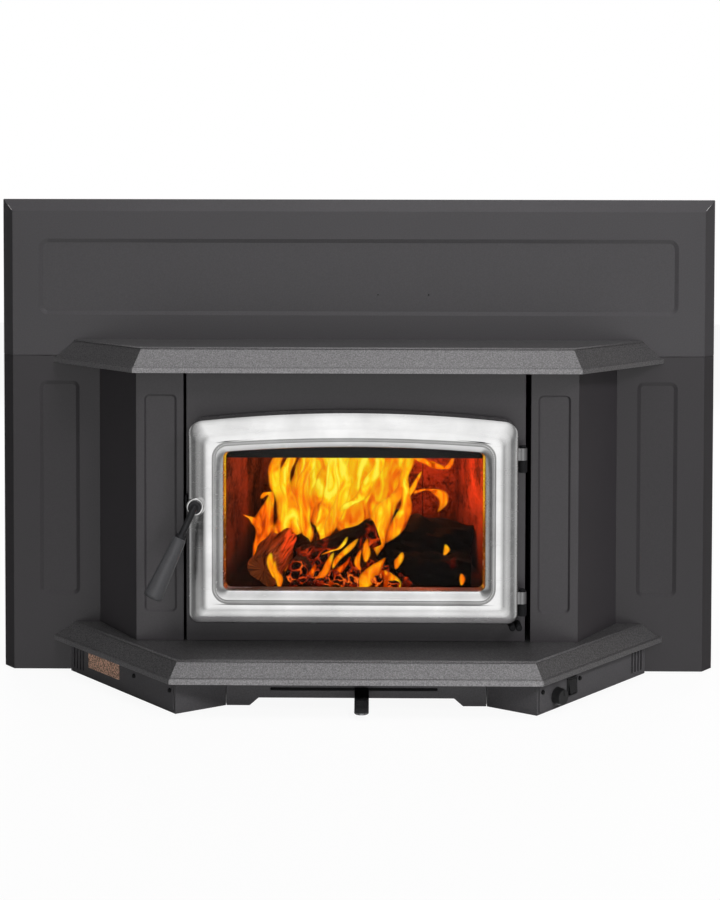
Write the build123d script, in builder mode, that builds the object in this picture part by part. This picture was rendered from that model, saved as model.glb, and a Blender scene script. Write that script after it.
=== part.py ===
from build123d import *
import math
import os

os.makedirs("parts", exist_ok=True)

# A wood-burning fireplace insert with a bay front, on its sheet-steel surround.
# Frame: X to the right, the front looks along -Y, Z up. The origin is on the floor,
# in the middle of the width, in the plane of the surround's front face.
# Depths are counted from that plane towards the viewer, so a depth d lies at Y = -d.

# ---------------------------------------------------------------- driving dimensions, mm
# surround
SURROUND_WIDTH = 1118.0
SURROUND_CLEAR = 2.5
SIDE_PANEL_HEIGHT = 493.2
TOP_PANEL_HEIGHT = 244.0
SEAM_GAP = 2.0
SEAM_FLANGE = 24.0
SURROUND_SHEET = 2.0
BEVEL = 19.0
RETURN_FLANGE = 20.0
RETURN_LIFT = 11.0
MITRE_GAP = 0.8
SIDE_PANEL_WIDTH = 164.0
EMBOSS_DEPTH = 2.5
EMBOSS_SLOPE = 6.0
TOP_FIELD_WIDTH = 998.0
TOP_FIELD_HEIGHT = 119.0
TOP_FIELD_DROP = 62.0
TOP_FIELD_RADIUS = 15.0
SIDE_FIELD_WIDTH = 63.0
SIDE_FIELD_HEIGHT = 337.5
SIDE_FIELD_EDGE = 60.0
SIDE_FIELD_LIFT = 117.5
SIDE_FIELD_RADIUS = 11.0
PIN_HOLE = 2.4
PIN_HOLE_LIFT = 95.0
PIN_HOLES_X = (31.0, 110.0)
JOINER_WIDTH = 36.0
JOINER_CLEAR = 2.0
JOINER_HEIGHT = 46.0
JOINER_RADIUS = 5.0
STUD_SPREAD = 18.0
STUD_RISE = 24.0
STUD = 4.0
STUD_LENGTH = 10.0
STUD_NUT = 7.0
STUD_NUT_THICK = 3.2

# bay shelf, bay ledge and the two pillars between them
BAY_OVERHANG = 26.5
SHELF_DEPTH = 148.5
SHELF_HEIGHT = 36.0
SHELF_BEVEL = 25.0
SHELF_PLATE = 8.0
LEDGE_DEPTH = 210.5
LEDGE_HEIGHT = 29.2
LEDGE_BEVEL = 23.0
LEDGE_PLATE = 8.0
LEDGE_LIFT = 48.8
RIM_LIP = 7.0
RIM_STEP = 1.6
RIM_CAP = 2.2
RIM_WALL = 7.0
PILLAR_HEIGHT = 436.5
PILLAR_INNER = 260.0
PILLAR_FACE = 71.0
PILLAR_SPREAD = 73.5
PILLAR_SHEET = 3.0
PILLAR_RETURN = 37.0
PILLAR_FIELD_WIDTH = 48.5
PILLAR_FIELD_HEIGHT = 328.0
PILLAR_FIELD_INSET = 10.5
PILLAR_FIELD_LIFT = 43.0
PILLAR_FIELD_RADIUS = 8.0
PILLAR_FIELD_DEPTH = 2.0
PILLAR_FIELD_SLOPE = 3.0

# front plate and firebox
FACE_DEPTH = 97.0
FRONT_PLATE = 6.0
FRONT_PLATE_LEFT = 256.0
FRONT_PLATE_RIGHT = 252.0
FRONT_PLATE_HEIGHT = 404.0
FIREBOX_PLATE = 5.0
FIREBOX_WIDTH = 500.0
FIREBOX_REAR_WIDTH = 410.0
FIREBOX_DEPTH = 471.0
FIREBOX_STRAIGHT = 151.0
FIREBOX_HEIGHT = 388.0
RAIL_HEIGHT = 82.0
RAIL_WIDTH = 30.0
RAIL_SPACING = 300.0
RAIL_SHEET = 4.0
FLUE_Y = 205.0
FLUE_BORE = 152.4
COLLAR_WALL = 4.0
COLLAR_HEIGHT = 62.0
COLLAR_FLANGE = 24.0
COLLAR_FLANGE_PLATE = 5.0
COLLAR_BOLTS = 3
COLLAR_BOLT = 8.0
COLLAR_BOLT_HEAD = 13.0
COLLAR_BOLT_RISE = 5.2

# casing round the firebox
CASING_SHEET = 2.0
CASING_WIDTH = 600.0
CASING_REAR_WIDTH = 510.0
CASING_DEPTH = 430.0
CASING_STRAIGHT = 80.0
CASING_HEIGHT = 508.0
PAN_FRONT = 110.0
BRACKET_CLEAR = 13.0
BRACKET_LEG = 38.0
BRACKET_HEIGHT = 390.0
BRACKET_LIFT = 72.0

# boxes under the ledge
BOX_SHEET = 2.0
BOX_HALF_WIDTH = 450.5
BOX_DEPTH = 191.0
BOX_FOLD_X = 191.0
BOX_FOLD_DEPTH = 153.5
BOX_RIM_DROP = 8.0
BOX_PASS_EDGE = 10.0
BOX_PASS_SILL = 8.0
BOX_PASS_RADIUS = 6.0
CENTRE_GAP = 1.0
CENTRE_NOTCH_HALF = 143.0
CENTRE_NOTCH_FOOT = 13.0
CENTRE_NOTCH = 11.3
VENT_SLOTS = 4
VENT_PITCH = 8.0
VENT_WIDTH = 3.4
VENT_HEIGHT = 38.0
VENT_LIFT = 7.0
VENT_FROM_REAR = 10.0

# plates, switch and knob on the slanting walls, distances from the front corner of the wall
COVER_START = 4.0
COVER_LENGTH = 103.0
COVER_HEIGHT = 42.0
COVER_LIFT = 4.0
COVER_PLATE = 1.5
COVER_RADIUS = 3.0
COVER_WINDOW_MARGIN = 8.0
COVER_SCREW_FIRST = 11.3
COVER_SCREW_PITCH = 88.0
COVER_SCREW_LIFT = 32.0
SCREW_HEAD = 7.0
SCREW_SHANK = 3.6
SCREW_LENGTH = 7.0
SCREW_RISE = 2.3
SCREW_DRAFT = 20.0
KNOB_AT = 44.0
KNOB_LIFT = 19.5
KNOB_DIAMETER = 25.0
KNOB_HEIGHT = 13.0
KNOB_SHAFT = 6.0
KNOB_DRAFT = 6.0
KNOB_EASE = 1.0
KNOB_MARK = 1.4
CONTROL_SIZE = 26.0
CONTROL_DEPTH = 13.0
SWITCH_AT = 80.0
SWITCH_LIFT = 24.7
SWITCH_WIDTH = 24.0
SWITCH_HEIGHT = 27.0
SWITCH_BODY_DEPTH = 14.0
SWITCH_WALL = 1.5
SWITCH_PIVOT = 3.0
ROCKER_WIDTH = 17.0
ROCKER_HEIGHT = 20.0
ROCKER_THICK = 6.0
ROCKER_LEAN = 10.0
DATA_PLATE_AT = 139.0
DATA_PLATE_LENGTH = 82.0
DATA_PLATE_HEIGHT = 23.5
DATA_PLATE_LIFT = 16.0
DATA_PLATE_SHEET = 0.8
DATA_PLATE_RADIUS = 1.5

# circulation blowers, one in each box
BLOWER_AT = 145.0
BLOWER_INSET = 40.0
WHEEL_RADIUS = 25.0
WHEEL_LENGTH = 88.0
WHEEL_BLADES = 20
WHEEL_DISC = 2.0
BLADE_THICK = 1.2
BLADE_CHORD = 7.0
BLADE_TURN = 25.0
BLADE_SINK = 0.3
HUB_HOLES = 5
BLOWER_SHAFT = 6.0
HOUSING_GAP = 3.0
HOUSING_SHEET = 1.5
MOTOR_RADIUS = 21.0
MOTOR_LENGTH = 42.0
MOTOR_FOOT = 26.0

# refractory lining and air parts inside the firebox
BRICK = 30.0
BRICK_JOINT = 1.0
BRICK_PITCH = 114.0
BRICK_WALL_HEIGHT = 262.0
BRICK_FRONT_GAP = 6.0
BAFFLE_THICK = 12.0
BAFFLE_SEAT = 15.0
BAFFLE_FRONT = 40.0
BAFFLE_REAR_GAP = 30.0
RETAINER_SHEET = 3.0
RETAINER_HEIGHT = 40.0
RETAINER_WIDTH = 26.0
AIRWASH_DROP = 21.4
AIRWASH_SEAT = 4.0
AIRWASH_DEPTH = 20.0
AIRWASH_SHEET = 3.0
AIRWASH_HALF = 198.0
DUCT_WIDTH = 90.0
DUCT_HEIGHT = 40.0
DUCT_LENGTH = 330.0
DUCT_SHEET = 2.5

# door
DOOR_WIDTH = 485.0
DOOR_LEFT = 248.0
DOOR_LIFT = 38.0
DOOR_SIDE_HEIGHT = 297.5
DOOR_CROWN = 14.0
DOOR_STANDOFF = 6.0
DOOR_WALL = 31.0
DOOR_SLOPE_RUN = 10.0
DOOR_SLOPE_RISE = 8.0
DOOR_CROWN_RUN = 8.0
DOOR_CROWN_RISE = 3.5
DOOR_LOW_RADIUS = 16.0
DOOR_HIGH_RADIUS = 22.0
DOOR_LEAST_RADIUS = 4.0
STILE_LEFT = 50.5
BOTTOM_RAIL = 48.5
WINDOW_WIDTH = 383.5
WINDOW_SIDE_HEIGHT = 207.1
WINDOW_CROWN = 8.0
WINDOW_RADIUS = 9.0
WINDOW_BEVEL = 9.5
WINDOW_BEVEL_DEPTH = 10.0
ROPE_OFFSET = 10.0
ROPE_WIDTH = 3.0
ROPE_RISE = 1.4
THROAT_MARGIN = 6.0
POCKET_MARGIN = 8.0
POCKET_DEPTH = 25.0
GLASS = 5.0
GLASS_EDGE_GAP = 1.0
GLASS_SEAL = 3.5
SEAL_INSET = 21.0
SEAL_WIDTH = 8.0
SEAL_CHANNEL = 6.0
CLIP_WIDTH = 14.0
CLIP_SHEET = 2.0
CLIP_FOOT = 9.0
CLIP_SPREAD = 110.0
CLIP_PLAY = 1.0
CLIP_SCREW_OUT = 6.0
CLIP_SCREW_HEAD = 6.0
CLIP_SCREW_SHANK = 3.0
CLIP_SCREW_RISE = 1.6

# hinges and latch
HINGE_OUT = 8.0
HINGE_BEHIND_FACE = 21.0
KNUCKLE_RADIUS = 7.0
LUG_HEIGHT = 18.0
LUG_LIFTS = (26.5, 240.0)
LUG_WIDTH = 12.0
HINGE_FOOT = 10.0
PIN_RADIUS = 3.0
PIN_HEAD_RADIUS = 5.0
PIN_HEAD = 3.0
REST_RADIUS = 4.8
REST_PITCH = 9.8
REST_LENGTH = 28.0
REST_DROP = 9.4
REST_EASE = 2.0
REST_OUT = 3.5
HANDLE_INSET = 12.0
HANDLE_LIFT = 175.0
HANDLE_SHAFT = 10.0
HUB_DIAMETER = 20.0
HUB_LENGTH = 6.0
HUB_EASE = 1.5
BUSH_DIAMETER = 26.0
BUSH_SEAT_DEPTH = 37.0
BUSH_LENGTH = 12.0
BUSH_EASE = 2.0
CAM_THICK = 5.0
CAM_REACH = 15.0
CAM_WIDTH = 12.0
CAM_POCKET = 7.3
CAM_POCKET_HALF = 23.0
CAM_POCKET_WALL = 1.0
CAM_SINK = 0.8
CAM_RIM = 1.5
NUT_THICK = 4.0
NUT_ACROSS = 13.0
CATCH_SHEET = 3.5
CATCH_HEIGHT = 18.0
CATCH_DEPTH = 15.0
ROD_FORWARD = 14.0
ROD_LENGTH = 46.0
ROD_LEFT = -55.0
ROD_OUT = -35.0
ROD_DOWN = -120.0
ROD_BEND = 12.0
ROD_COLLAR = 6.0
ROD_COLLAR_RADIUS = 8.0
GRIP_LENGTH = 92.0
GRIP_NECK_RADIUS = 9.5
GRIP_END_RADIUS = 14.0
GRIP_END_EASE = 5.0
GRIP_NECK_EASE = 2.0

# combustion air control
LEVER_X = 8.0
LEVER_Z = 24.5
LEVER_WIDTH = 21.0
LEVER_SHEET = 3.0
LEVER_STRAIGHT = 168.0
LEVER_BEND = 190.0
LEVER_TIP = 216.0
LEVER_TIP_Z = 9.5
LEVER_TIP_RADIUS = 10.0
SLOT_LEFT = 126.0
SLOT_RIGHT = 119.0
SLOT_HEIGHT = 4.5
SLIDER_LENGTH = 60.0
SLIDER_WIDTH = 36.0
GUIDE_FRONT = 108.0
GUIDE_WIDTH = 46.0
GUIDE_LEFT = 165.0
GUIDE_RIGHT = 180.0
GUIDE_TOP = 34.0
AIR_HOLE = 32.0

# clearances
RUNNING = 0.3
SHAFT_FIT = 0.05
PRESS_FIT = 0.02

# ---------------------------------------------------------------- derived places
SIDES = (("left", -1), ("right", 1))
ledge_top = LEDGE_LIFT + LEDGE_HEIGHT
ledge_under = ledge_top - LEDGE_PLATE
shelf_under = ledge_top + PILLAR_HEIGHT
shelf_bottom = shelf_under + SHELF_PLATE - SHELF_HEIGHT
side_panel_top = SURROUND_CLEAR + SIDE_PANEL_HEIGHT
top_panel_bottom = side_panel_top + SEAM_GAP
surround_top_z = top_panel_bottom + TOP_PANEL_HEIGHT
face_half = SURROUND_WIDTH / 2 - BEVEL
panel_inner = SURROUND_WIDTH / 2 - SIDE_PANEL_WIDTH
field_inner = SURROUND_WIDTH / 2 - SIDE_FIELD_EDGE - SIDE_FIELD_WIDTH
face_top = surround_top_z - BEVEL
# Plan of the flange folded back along the seam, from beyond the joining strap to the side.
seam_flange = [
    (field_inner + 2 * JOINER_CLEAR, SURROUND_SHEET / 2), (face_half, SURROUND_SHEET / 2),
    (face_half + BEVEL - SURROUND_SHEET / 2, BEVEL),
    (face_half + BEVEL - SURROUND_SHEET / 2, SURROUND_SHEET + SEAM_FLANGE),
    (field_inner + 2 * JOINER_CLEAR, SURROUND_SHEET + SEAM_FLANGE),
]
bay_half = BOX_HALF_WIDTH + BAY_OVERHANG
firebox_front = FACE_DEPTH - FRONT_PLATE
firebox_bottom = CASING_SHEET + RAIL_HEIGHT
firebox_top = firebox_bottom + FIREBOX_HEIGHT
firebox_rear = FIREBOX_DEPTH - firebox_front
door_right = DOOR_WIDTH - DOOR_LEFT
door_bottom = ledge_top + DOOR_LIFT
door_back = FACE_DEPTH + DOOR_STANDOFF
door_front = door_back + DOOR_WALL + DOOR_SLOPE_RISE + DOOR_CROWN_RISE
window_left = -DOOR_LEFT + STILE_LEFT
window_bottom = door_bottom + BOTTOM_RAIL
hinge_x = door_right + HINGE_OUT
hinge_depth = FACE_DEPTH + HINGE_BEHIND_FACE
handle_x = -DOOR_LEFT + HANDLE_INSET
handle_z = door_bottom + HANDLE_LIFT
bush_seat = door_back + BUSH_SEAT_DEPTH
HALF_TURN = math.sqrt(0.5)


# ---------------------------------------------------------------- shared outlines
def facing(depth):
    """Plane parallel to the front at this depth; its Y is up and it looks at the viewer."""
    return Plane.XZ.offset(depth)


def slanting_wall(sign, lift=0.0):
    """Plane on the outer face of the slanting box wall, X along the wall, Y up, Z out of it."""
    corner = (BOX_HALF_WIDTH - BOX_DEPTH) * sign
    normal = Vector(sign * HALF_TURN, -HALF_TURN, 0)
    origin = Vector(corner, -BOX_DEPTH, 0) + normal * lift
    return Plane(origin=origin, x_dir=(HALF_TURN, sign * HALF_TURN, 0), z_dir=normal)


def mirrored(points, sign):
    """The same outline on the left (sign -1) or on the right (sign 1), still run anticlockwise."""
    if sign > 0:
        return points
    return [(-x, y) for x, y in reversed(points)]


def folded_outline(path, sheet):
    """Outline of a sheet bent along an open path, its thickness laid on the left of the path."""
    inner = []
    for index, (x, y) in enumerate(path):
        before = path[max(index - 1, 0)]
        after = path[min(index + 1, len(path) - 1)]
        into = math.atan2(y - before[1], x - before[0]) if index > 0 else None
        out = math.atan2(after[1] - y, after[0] - x) if index < len(path) - 1 else into
        into = out if into is None else into
        half = math.atan2(math.sin(out - into), math.cos(out - into)) / 2
        reach = sheet / math.cos(half)
        turn = into + half + math.pi / 2
        inner.append((x + reach * math.cos(turn), y + reach * math.sin(turn)))
    return list(path) + inner[::-1]


def bay_outline(depth, inset):
    """Plan of a bay plate: straight front, sides at 45 degrees, back at the surround."""
    front = depth - inset
    side = bay_half - inset / HALF_TURN
    return [(-side, 0), (-(side - front), -front), (side - front, -front), (side, 0)]


def bay_face(depth, inset, height):
    with BuildSketch(Plane.XY.offset(height)) as face:
        Polygon(*bay_outline(depth, inset), align=None)
    return face.sketch


def arched_face(depth, left, right, bottom, top, crown, low_radius, high_radius):
    """Face with a flat bottom, straight sides and an arched top, at this depth."""
    with BuildSketch(facing(depth)) as face:
        with BuildLine():
            Polyline((left, top), (left, bottom), (right, bottom), (right, top))
            ThreePointArc((right, top), ((left + right) / 2, top + crown), (left, top))
        make_face()
        fillet(face.vertices().group_by(Axis.Y)[0], low_radius)
        fillet(face.vertices().sort_by(Axis.Y)[-2:], high_radius)
    return face.sketch


def door_face(depth, inset):
    """The door's outline, drawn in by inset on every side."""
    return arched_face(
        depth,
        -DOOR_LEFT + inset,
        door_right - inset,
        door_bottom + inset,
        door_bottom + DOOR_SIDE_HEIGHT - inset,
        DOOR_CROWN,
        max(DOOR_LOW_RADIUS - inset, DOOR_LEAST_RADIUS),
        max(DOOR_HIGH_RADIUS - inset, DOOR_LEAST_RADIUS),
    )


def window_face(depth, margin):
    """The window's outline, widened by margin on every side."""
    return arched_face(
        depth,
        window_left - margin,
        window_left + WINDOW_WIDTH + margin,
        window_bottom - margin,
        window_bottom + WINDOW_SIDE_HEIGHT + margin,
        WINDOW_CROWN,
        WINDOW_RADIUS + margin,
        WINDOW_RADIUS + margin,
    )


def rounded_face(depth, x, z, width, height, radius):
    with BuildSketch(facing(depth)) as face:
        with Locations((x, z)):
            RectangleRounded(width, height, radius)
    return face.sketch


def press_field(depth, sheet, x, z, width, height, radius, step, slope):
    """Press a shallow rounded field into a sheet: sloping edges in front, the same step behind."""
    skin = slope / 3
    back = rounded_face(depth - sheet, x, z, width + 2 * skin, height + 2 * skin, radius + skin)
    pad = rounded_face(
        depth - sheet - step,
        x, z, width - 2 * (slope - skin), height - 2 * (slope - skin), radius - slope + skin,
    )
    loft([back, pad], ruled=True)
    mouth = rounded_face(depth, x, z, width, height, radius)
    floor = rounded_face(depth - step, x, z, width - 2 * slope, height - 2 * slope, radius - slope)
    loft([mouth, floor], ruled=True, mode=Mode.SUBTRACT)


def firebox_wall_path(inset, front):
    """Right wall, back and left wall of the firebox in plan, drawn in by inset."""
    half = FIREBOX_WIDTH / 2 - inset
    rear_half = FIREBOX_REAR_WIDTH / 2 - inset
    bend = FIREBOX_STRAIGHT - firebox_front
    rear = firebox_rear - inset
    return [(half, -front), (half, bend), (rear_half, rear),
            (-rear_half, rear), (-half, bend), (-half, -front)]


def casing_wall_path():
    """Right wall, back and left wall of the outer casing in plan."""
    half = CASING_WIDTH / 2
    rear_half = CASING_REAR_WIDTH / 2
    return [(half, SURROUND_SHEET), (half, CASING_STRAIGHT), (rear_half, CASING_DEPTH),
            (-rear_half, CASING_DEPTH), (-half, CASING_STRAIGHT), (-half, SURROUND_SHEET)]


# ---------------------------------------------------------------- surround
def surround_section(inset, depth_back):
    """Front view of the top panel's outer skin at this distance behind its face."""
    with BuildSketch(Plane.XZ.offset(-depth_back)) as section:
        half = face_half + inset
        top = face_top + inset
        Polygon((-half, top_panel_bottom), (half, top_panel_bottom), (half, top), (-half, top),
                align=None)
    return section.sketch


# The top panel: one sheet folded back at both sides and along the top, with mitred corners.
corner_ease = SURROUND_SHEET * (1 / HALF_TURN - 1)
with BuildPart() as surround_top:
    loft([surround_section(0, 0), surround_section(BEVEL, BEVEL)], ruled=True)
    extrude(surround_section(BEVEL, BEVEL), amount=RETURN_FLANGE, dir=(0, 1, 0))
    loft(
        [surround_section(-corner_ease, SURROUND_SHEET),
         surround_section(BEVEL - SURROUND_SHEET, BEVEL + corner_ease)],
        ruled=True, mode=Mode.SUBTRACT,
    )
    extrude(
        surround_section(BEVEL - SURROUND_SHEET, BEVEL + corner_ease),
        amount=RETURN_FLANGE, dir=(0, 1, 0), mode=Mode.SUBTRACT,
    )
    with BuildSketch(Plane.XY.offset(top_panel_bottom)):
        for side, sign in SIDES:
            Polygon(*mirrored(seam_flange, sign), align=None)
    extrude(amount=SURROUND_SHEET)
    field_z = surround_top_z - TOP_FIELD_DROP - TOP_FIELD_HEIGHT / 2
    press_field(0, SURROUND_SHEET, 0, field_z, TOP_FIELD_WIDTH, TOP_FIELD_HEIGHT,
                TOP_FIELD_RADIUS, EMBOSS_DEPTH, EMBOSS_SLOPE)
    with BuildSketch(Plane.XZ.offset(-SURROUND_SHEET - EMBOSS_DEPTH)):
        with Locations(*[(x, top_panel_bottom + PIN_HOLE_LIFT) for x in PIN_HOLES_X]):
            Circle(PIN_HOLE / 2)
    extrude(amount=2 * SURROUND_SHEET + EMBOSS_DEPTH, mode=Mode.SUBTRACT)
    gap_reach = BEVEL / HALF_TURN
    with BuildSketch(Plane.XZ.offset(-SURROUND_SHEET)):
        for sign in (-1, 1):
            with Locations((sign * (face_half + BEVEL / 2), face_top + BEVEL / 2)):
                Rectangle(gap_reach, MITRE_GAP, rotation=45 * sign)
    extrude(amount=-BEVEL - RETURN_FLANGE, mode=Mode.SUBTRACT)
surround_top.part.label = "surround_top"
export_step(surround_top.part, "parts/surround_top.step")

# The side panels stand on the hearth and carry the top panel.
for side, sign in SIDES:
    with BuildPart() as side_panel:
        fold = [(panel_inner, 0), (face_half, 0), (face_half + BEVEL, BEVEL),
                (face_half + BEVEL, BEVEL + RETURN_FLANGE)]
        with BuildSketch(Plane.XY.offset(SURROUND_CLEAR)):
            Polygon(*mirrored(folded_outline(fold, SURROUND_SHEET), sign), align=None)
        extrude(amount=SIDE_PANEL_HEIGHT)
        with BuildSketch(Plane.XY.offset(SURROUND_CLEAR)):
            with Locations((sign * (face_half + BEVEL), BEVEL + RETURN_FLANGE / 2)):
                Rectangle(4 * SURROUND_SHEET, RETURN_FLANGE)
        extrude(amount=RETURN_LIFT, mode=Mode.SUBTRACT)
        with BuildSketch(Plane.XY.offset(side_panel_top - SURROUND_SHEET)):
            Polygon(*mirrored(seam_flange, sign), align=None)
        extrude(amount=SURROUND_SHEET)
        press_field(
            0, SURROUND_SHEET,
            sign * (field_inner + SIDE_FIELD_WIDTH / 2),
            SURROUND_CLEAR + SIDE_FIELD_LIFT + SIDE_FIELD_HEIGHT / 2,
            SIDE_FIELD_WIDTH, SIDE_FIELD_HEIGHT, SIDE_FIELD_RADIUS, EMBOSS_DEPTH, EMBOSS_SLOPE,
        )
    side_panel.part.label = f"surround_{side}"
    export_step(side_panel.part, f"parts/surround_{side}.step")

# Straps behind the seam join the panels on welded studs with nuts.
joiner_x = field_inner - JOINER_CLEAR - JOINER_WIDTH / 2
seam_middle = side_panel_top + SEAM_GAP / 2
stud_places = [
    (sign * joiner_x + across * STUD_SPREAD / 2, seam_middle + up * STUD_RISE / 2)
    for sign in (-1, 1) for across in (-1, 1) for up in (-1, 1)
]
with BuildPart() as surround_joiners:
    with BuildSketch(Plane.XZ.offset(-SURROUND_SHEET)):
        with Locations(*[(sign * joiner_x, seam_middle) for sign in (-1, 1)]):
            RectangleRounded(JOINER_WIDTH, JOINER_HEIGHT, JOINER_RADIUS)
        with Locations(*stud_places):
            Circle(STUD / 2 + PRESS_FIT, mode=Mode.SUBTRACT)
    extrude(amount=-SURROUND_SHEET)
surround_joiners.part.label = "surround_joiners"
export_step(surround_joiners.part, "parts/surround_joiners.step")

with BuildPart() as surround_studs:
    with BuildSketch(Plane.XZ.offset(-SURROUND_SHEET)):
        with Locations(*stud_places):
            Circle(STUD / 2)
    extrude(amount=-STUD_LENGTH)
    with BuildSketch(Plane.XZ.offset(-2 * SURROUND_SHEET)):
        with Locations(*stud_places):
            RegularPolygon(STUD_NUT / 2, 6, major_radius=False)
    extrude(amount=-STUD_NUT_THICK)
surround_studs.part.label = "surround_studs"
export_step(surround_studs.part, "parts/surround_studs.step")

# Angle brackets tie the casing to the side panels.
with BuildPart() as surround_brackets:
    with BuildSketch(Plane.XY.offset(BRACKET_LIFT)):
        for sign in (-1, 1):
            half = CASING_WIDTH / 2
            leg = [(half, SURROUND_SHEET + BRACKET_LEG), (half, SURROUND_SHEET),
                   (field_inner - BRACKET_CLEAR, SURROUND_SHEET)]
            Polygon(*mirrored(folded_outline(leg, SURROUND_SHEET), sign), align=None)
    extrude(amount=BRACKET_HEIGHT)
surround_brackets.part.label = "surround_brackets"
export_step(surround_brackets.part, "parts/surround_brackets.step")


# ---------------------------------------------------------------- bay shelf and ledge
def bay_plate(depth, bottom, height, bevel, plate):
    """Cast bay plate: a lip, a step, a wide bevel and a capped top, hollow underneath."""
    top = bottom + height
    bevel_start = bottom + RIM_LIP + RIM_STEP
    with BuildPart() as cast:
        extrude(bay_face(depth, 0, bottom), amount=RIM_LIP, dir=(0, 0, 1))
        loft([bay_face(depth, 0, bottom + RIM_LIP), bay_face(depth, RIM_STEP, bevel_start)],
             ruled=True)
        loft([bay_face(depth, 2 * RIM_STEP, bevel_start),
              bay_face(depth, bevel - RIM_STEP, top - RIM_CAP)], ruled=True)
        loft([bay_face(depth, bevel - 2 * RIM_STEP, top - RIM_CAP),
              bay_face(depth, bevel, top)], ruled=True)
        loft([bay_face(depth, RIM_WALL, bottom), bay_face(depth, bevel - 1, top - plate)],
             ruled=True, mode=Mode.SUBTRACT)
    return cast.part


top_shelf = bay_plate(SHELF_DEPTH, shelf_bottom, SHELF_HEIGHT, SHELF_BEVEL, SHELF_PLATE)
top_shelf.label = "top_shelf"
export_step(top_shelf, "parts/top_shelf.step")

ash_ledge = bay_plate(LEDGE_DEPTH, LEDGE_LIFT, LEDGE_HEIGHT, LEDGE_BEVEL, LEDGE_PLATE)
ash_ledge.label = "ash_ledge"
export_step(ash_ledge, "parts/ash_ledge.step")

# The pillars: folded sheet, standing on the ledge and carrying the shelf.
for side, sign in SIDES:
    with BuildPart() as pillar:
        outer = PILLAR_INNER + PILLAR_FACE
        fold = [(PILLAR_INNER, PILLAR_RETURN - FACE_DEPTH), (PILLAR_INNER, -FACE_DEPTH),
                (outer, -FACE_DEPTH), (outer + PILLAR_SPREAD, 0)]
        with BuildSketch(Plane.XY.offset(ledge_top)):
            Polygon(*mirrored(folded_outline(fold, PILLAR_SHEET), sign), align=None)
            with Locations((sign * (outer + PILLAR_SPREAD), PILLAR_SHEET)):
                Rectangle(6 * PILLAR_SHEET, 2 * PILLAR_SHEET, mode=Mode.SUBTRACT)
        extrude(amount=PILLAR_HEIGHT)
        press_field(
            FACE_DEPTH, PILLAR_SHEET,
            sign * (PILLAR_INNER + PILLAR_FIELD_INSET + PILLAR_FIELD_WIDTH / 2),
            ledge_top + PILLAR_FIELD_LIFT + PILLAR_FIELD_HEIGHT / 2,
            PILLAR_FIELD_WIDTH, PILLAR_FIELD_HEIGHT, PILLAR_FIELD_RADIUS,
            PILLAR_FIELD_DEPTH, PILLAR_FIELD_SLOPE,
        )
    pillar.part.label = f"pillar_{side}"
    export_step(pillar.part, f"parts/pillar_{side}.step")


# ---------------------------------------------------------------- front plate and firebox
# The front plate stands on the ledge and closes the firebox round the door's throat.
with BuildPart() as front_plate:
    with BuildSketch(facing(firebox_front)):
        with BuildLine():
            Polyline(
                (-FRONT_PLATE_LEFT, ledge_top), (FRONT_PLATE_RIGHT, ledge_top),
                (FRONT_PLATE_RIGHT, ledge_top + FRONT_PLATE_HEIGHT),
                (-FRONT_PLATE_LEFT, ledge_top + FRONT_PLATE_HEIGHT), close=True,
            )
        make_face()
    extrude(amount=FRONT_PLATE)
    extrude(window_face(FACE_DEPTH, THROAT_MARGIN), amount=FRONT_PLATE, dir=(0, 1, 0),
            mode=Mode.SUBTRACT)
front_plate.part.label = "front_plate"
export_step(front_plate.part, "parts/front_plate.step")

# The welded firebox, open at the front, with the flue hole in its top.
with BuildPart() as firebox_body:
    with BuildSketch(Plane.XY.offset(firebox_bottom)):
        Polygon(*folded_outline(firebox_wall_path(0, firebox_front), FIREBOX_PLATE), align=None)
    extrude(amount=FIREBOX_HEIGHT)
    with BuildSketch(
        Plane.XY.offset(firebox_bottom), Plane.XY.offset(firebox_top - FIREBOX_PLATE)
    ):
        Polygon(*firebox_wall_path(FIREBOX_PLATE / 2, firebox_front), align=None)
    extrude(amount=FIREBOX_PLATE)
    with BuildSketch(Plane.XY.offset(firebox_top - FIREBOX_PLATE)):
        with Locations((0, FLUE_Y)):
            Circle(FLUE_BORE / 2 + COLLAR_WALL)
    extrude(amount=FIREBOX_PLATE, mode=Mode.SUBTRACT)
firebox_body.part.label = "firebox_body"
export_step(firebox_body.part, "parts/firebox_body.step")

# The flue collar is bolted to the firebox top through its flange.
collar_outer = FLUE_BORE / 2 + COLLAR_WALL
bolt_circle = collar_outer + COLLAR_FLANGE / 2
with BuildPart() as flue_collar:
    with BuildSketch(Plane.XY.offset(firebox_top)):
        with Locations((0, FLUE_Y)):
            Circle(collar_outer)
            Circle(FLUE_BORE / 2, mode=Mode.SUBTRACT)
    extrude(amount=COLLAR_HEIGHT)
    with BuildSketch(Plane.XY.offset(firebox_top)):
        with Locations((0, FLUE_Y)):
            Circle(collar_outer + COLLAR_FLANGE)
            Circle(FLUE_BORE / 2, mode=Mode.SUBTRACT)
            with PolarLocations(bolt_circle, COLLAR_BOLTS):
                Circle(COLLAR_BOLT / 2 + PRESS_FIT, mode=Mode.SUBTRACT)
    extrude(amount=COLLAR_FLANGE_PLATE)
flue_collar.part.label = "flue_collar"
export_step(flue_collar.part, "parts/flue_collar.step")

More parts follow.
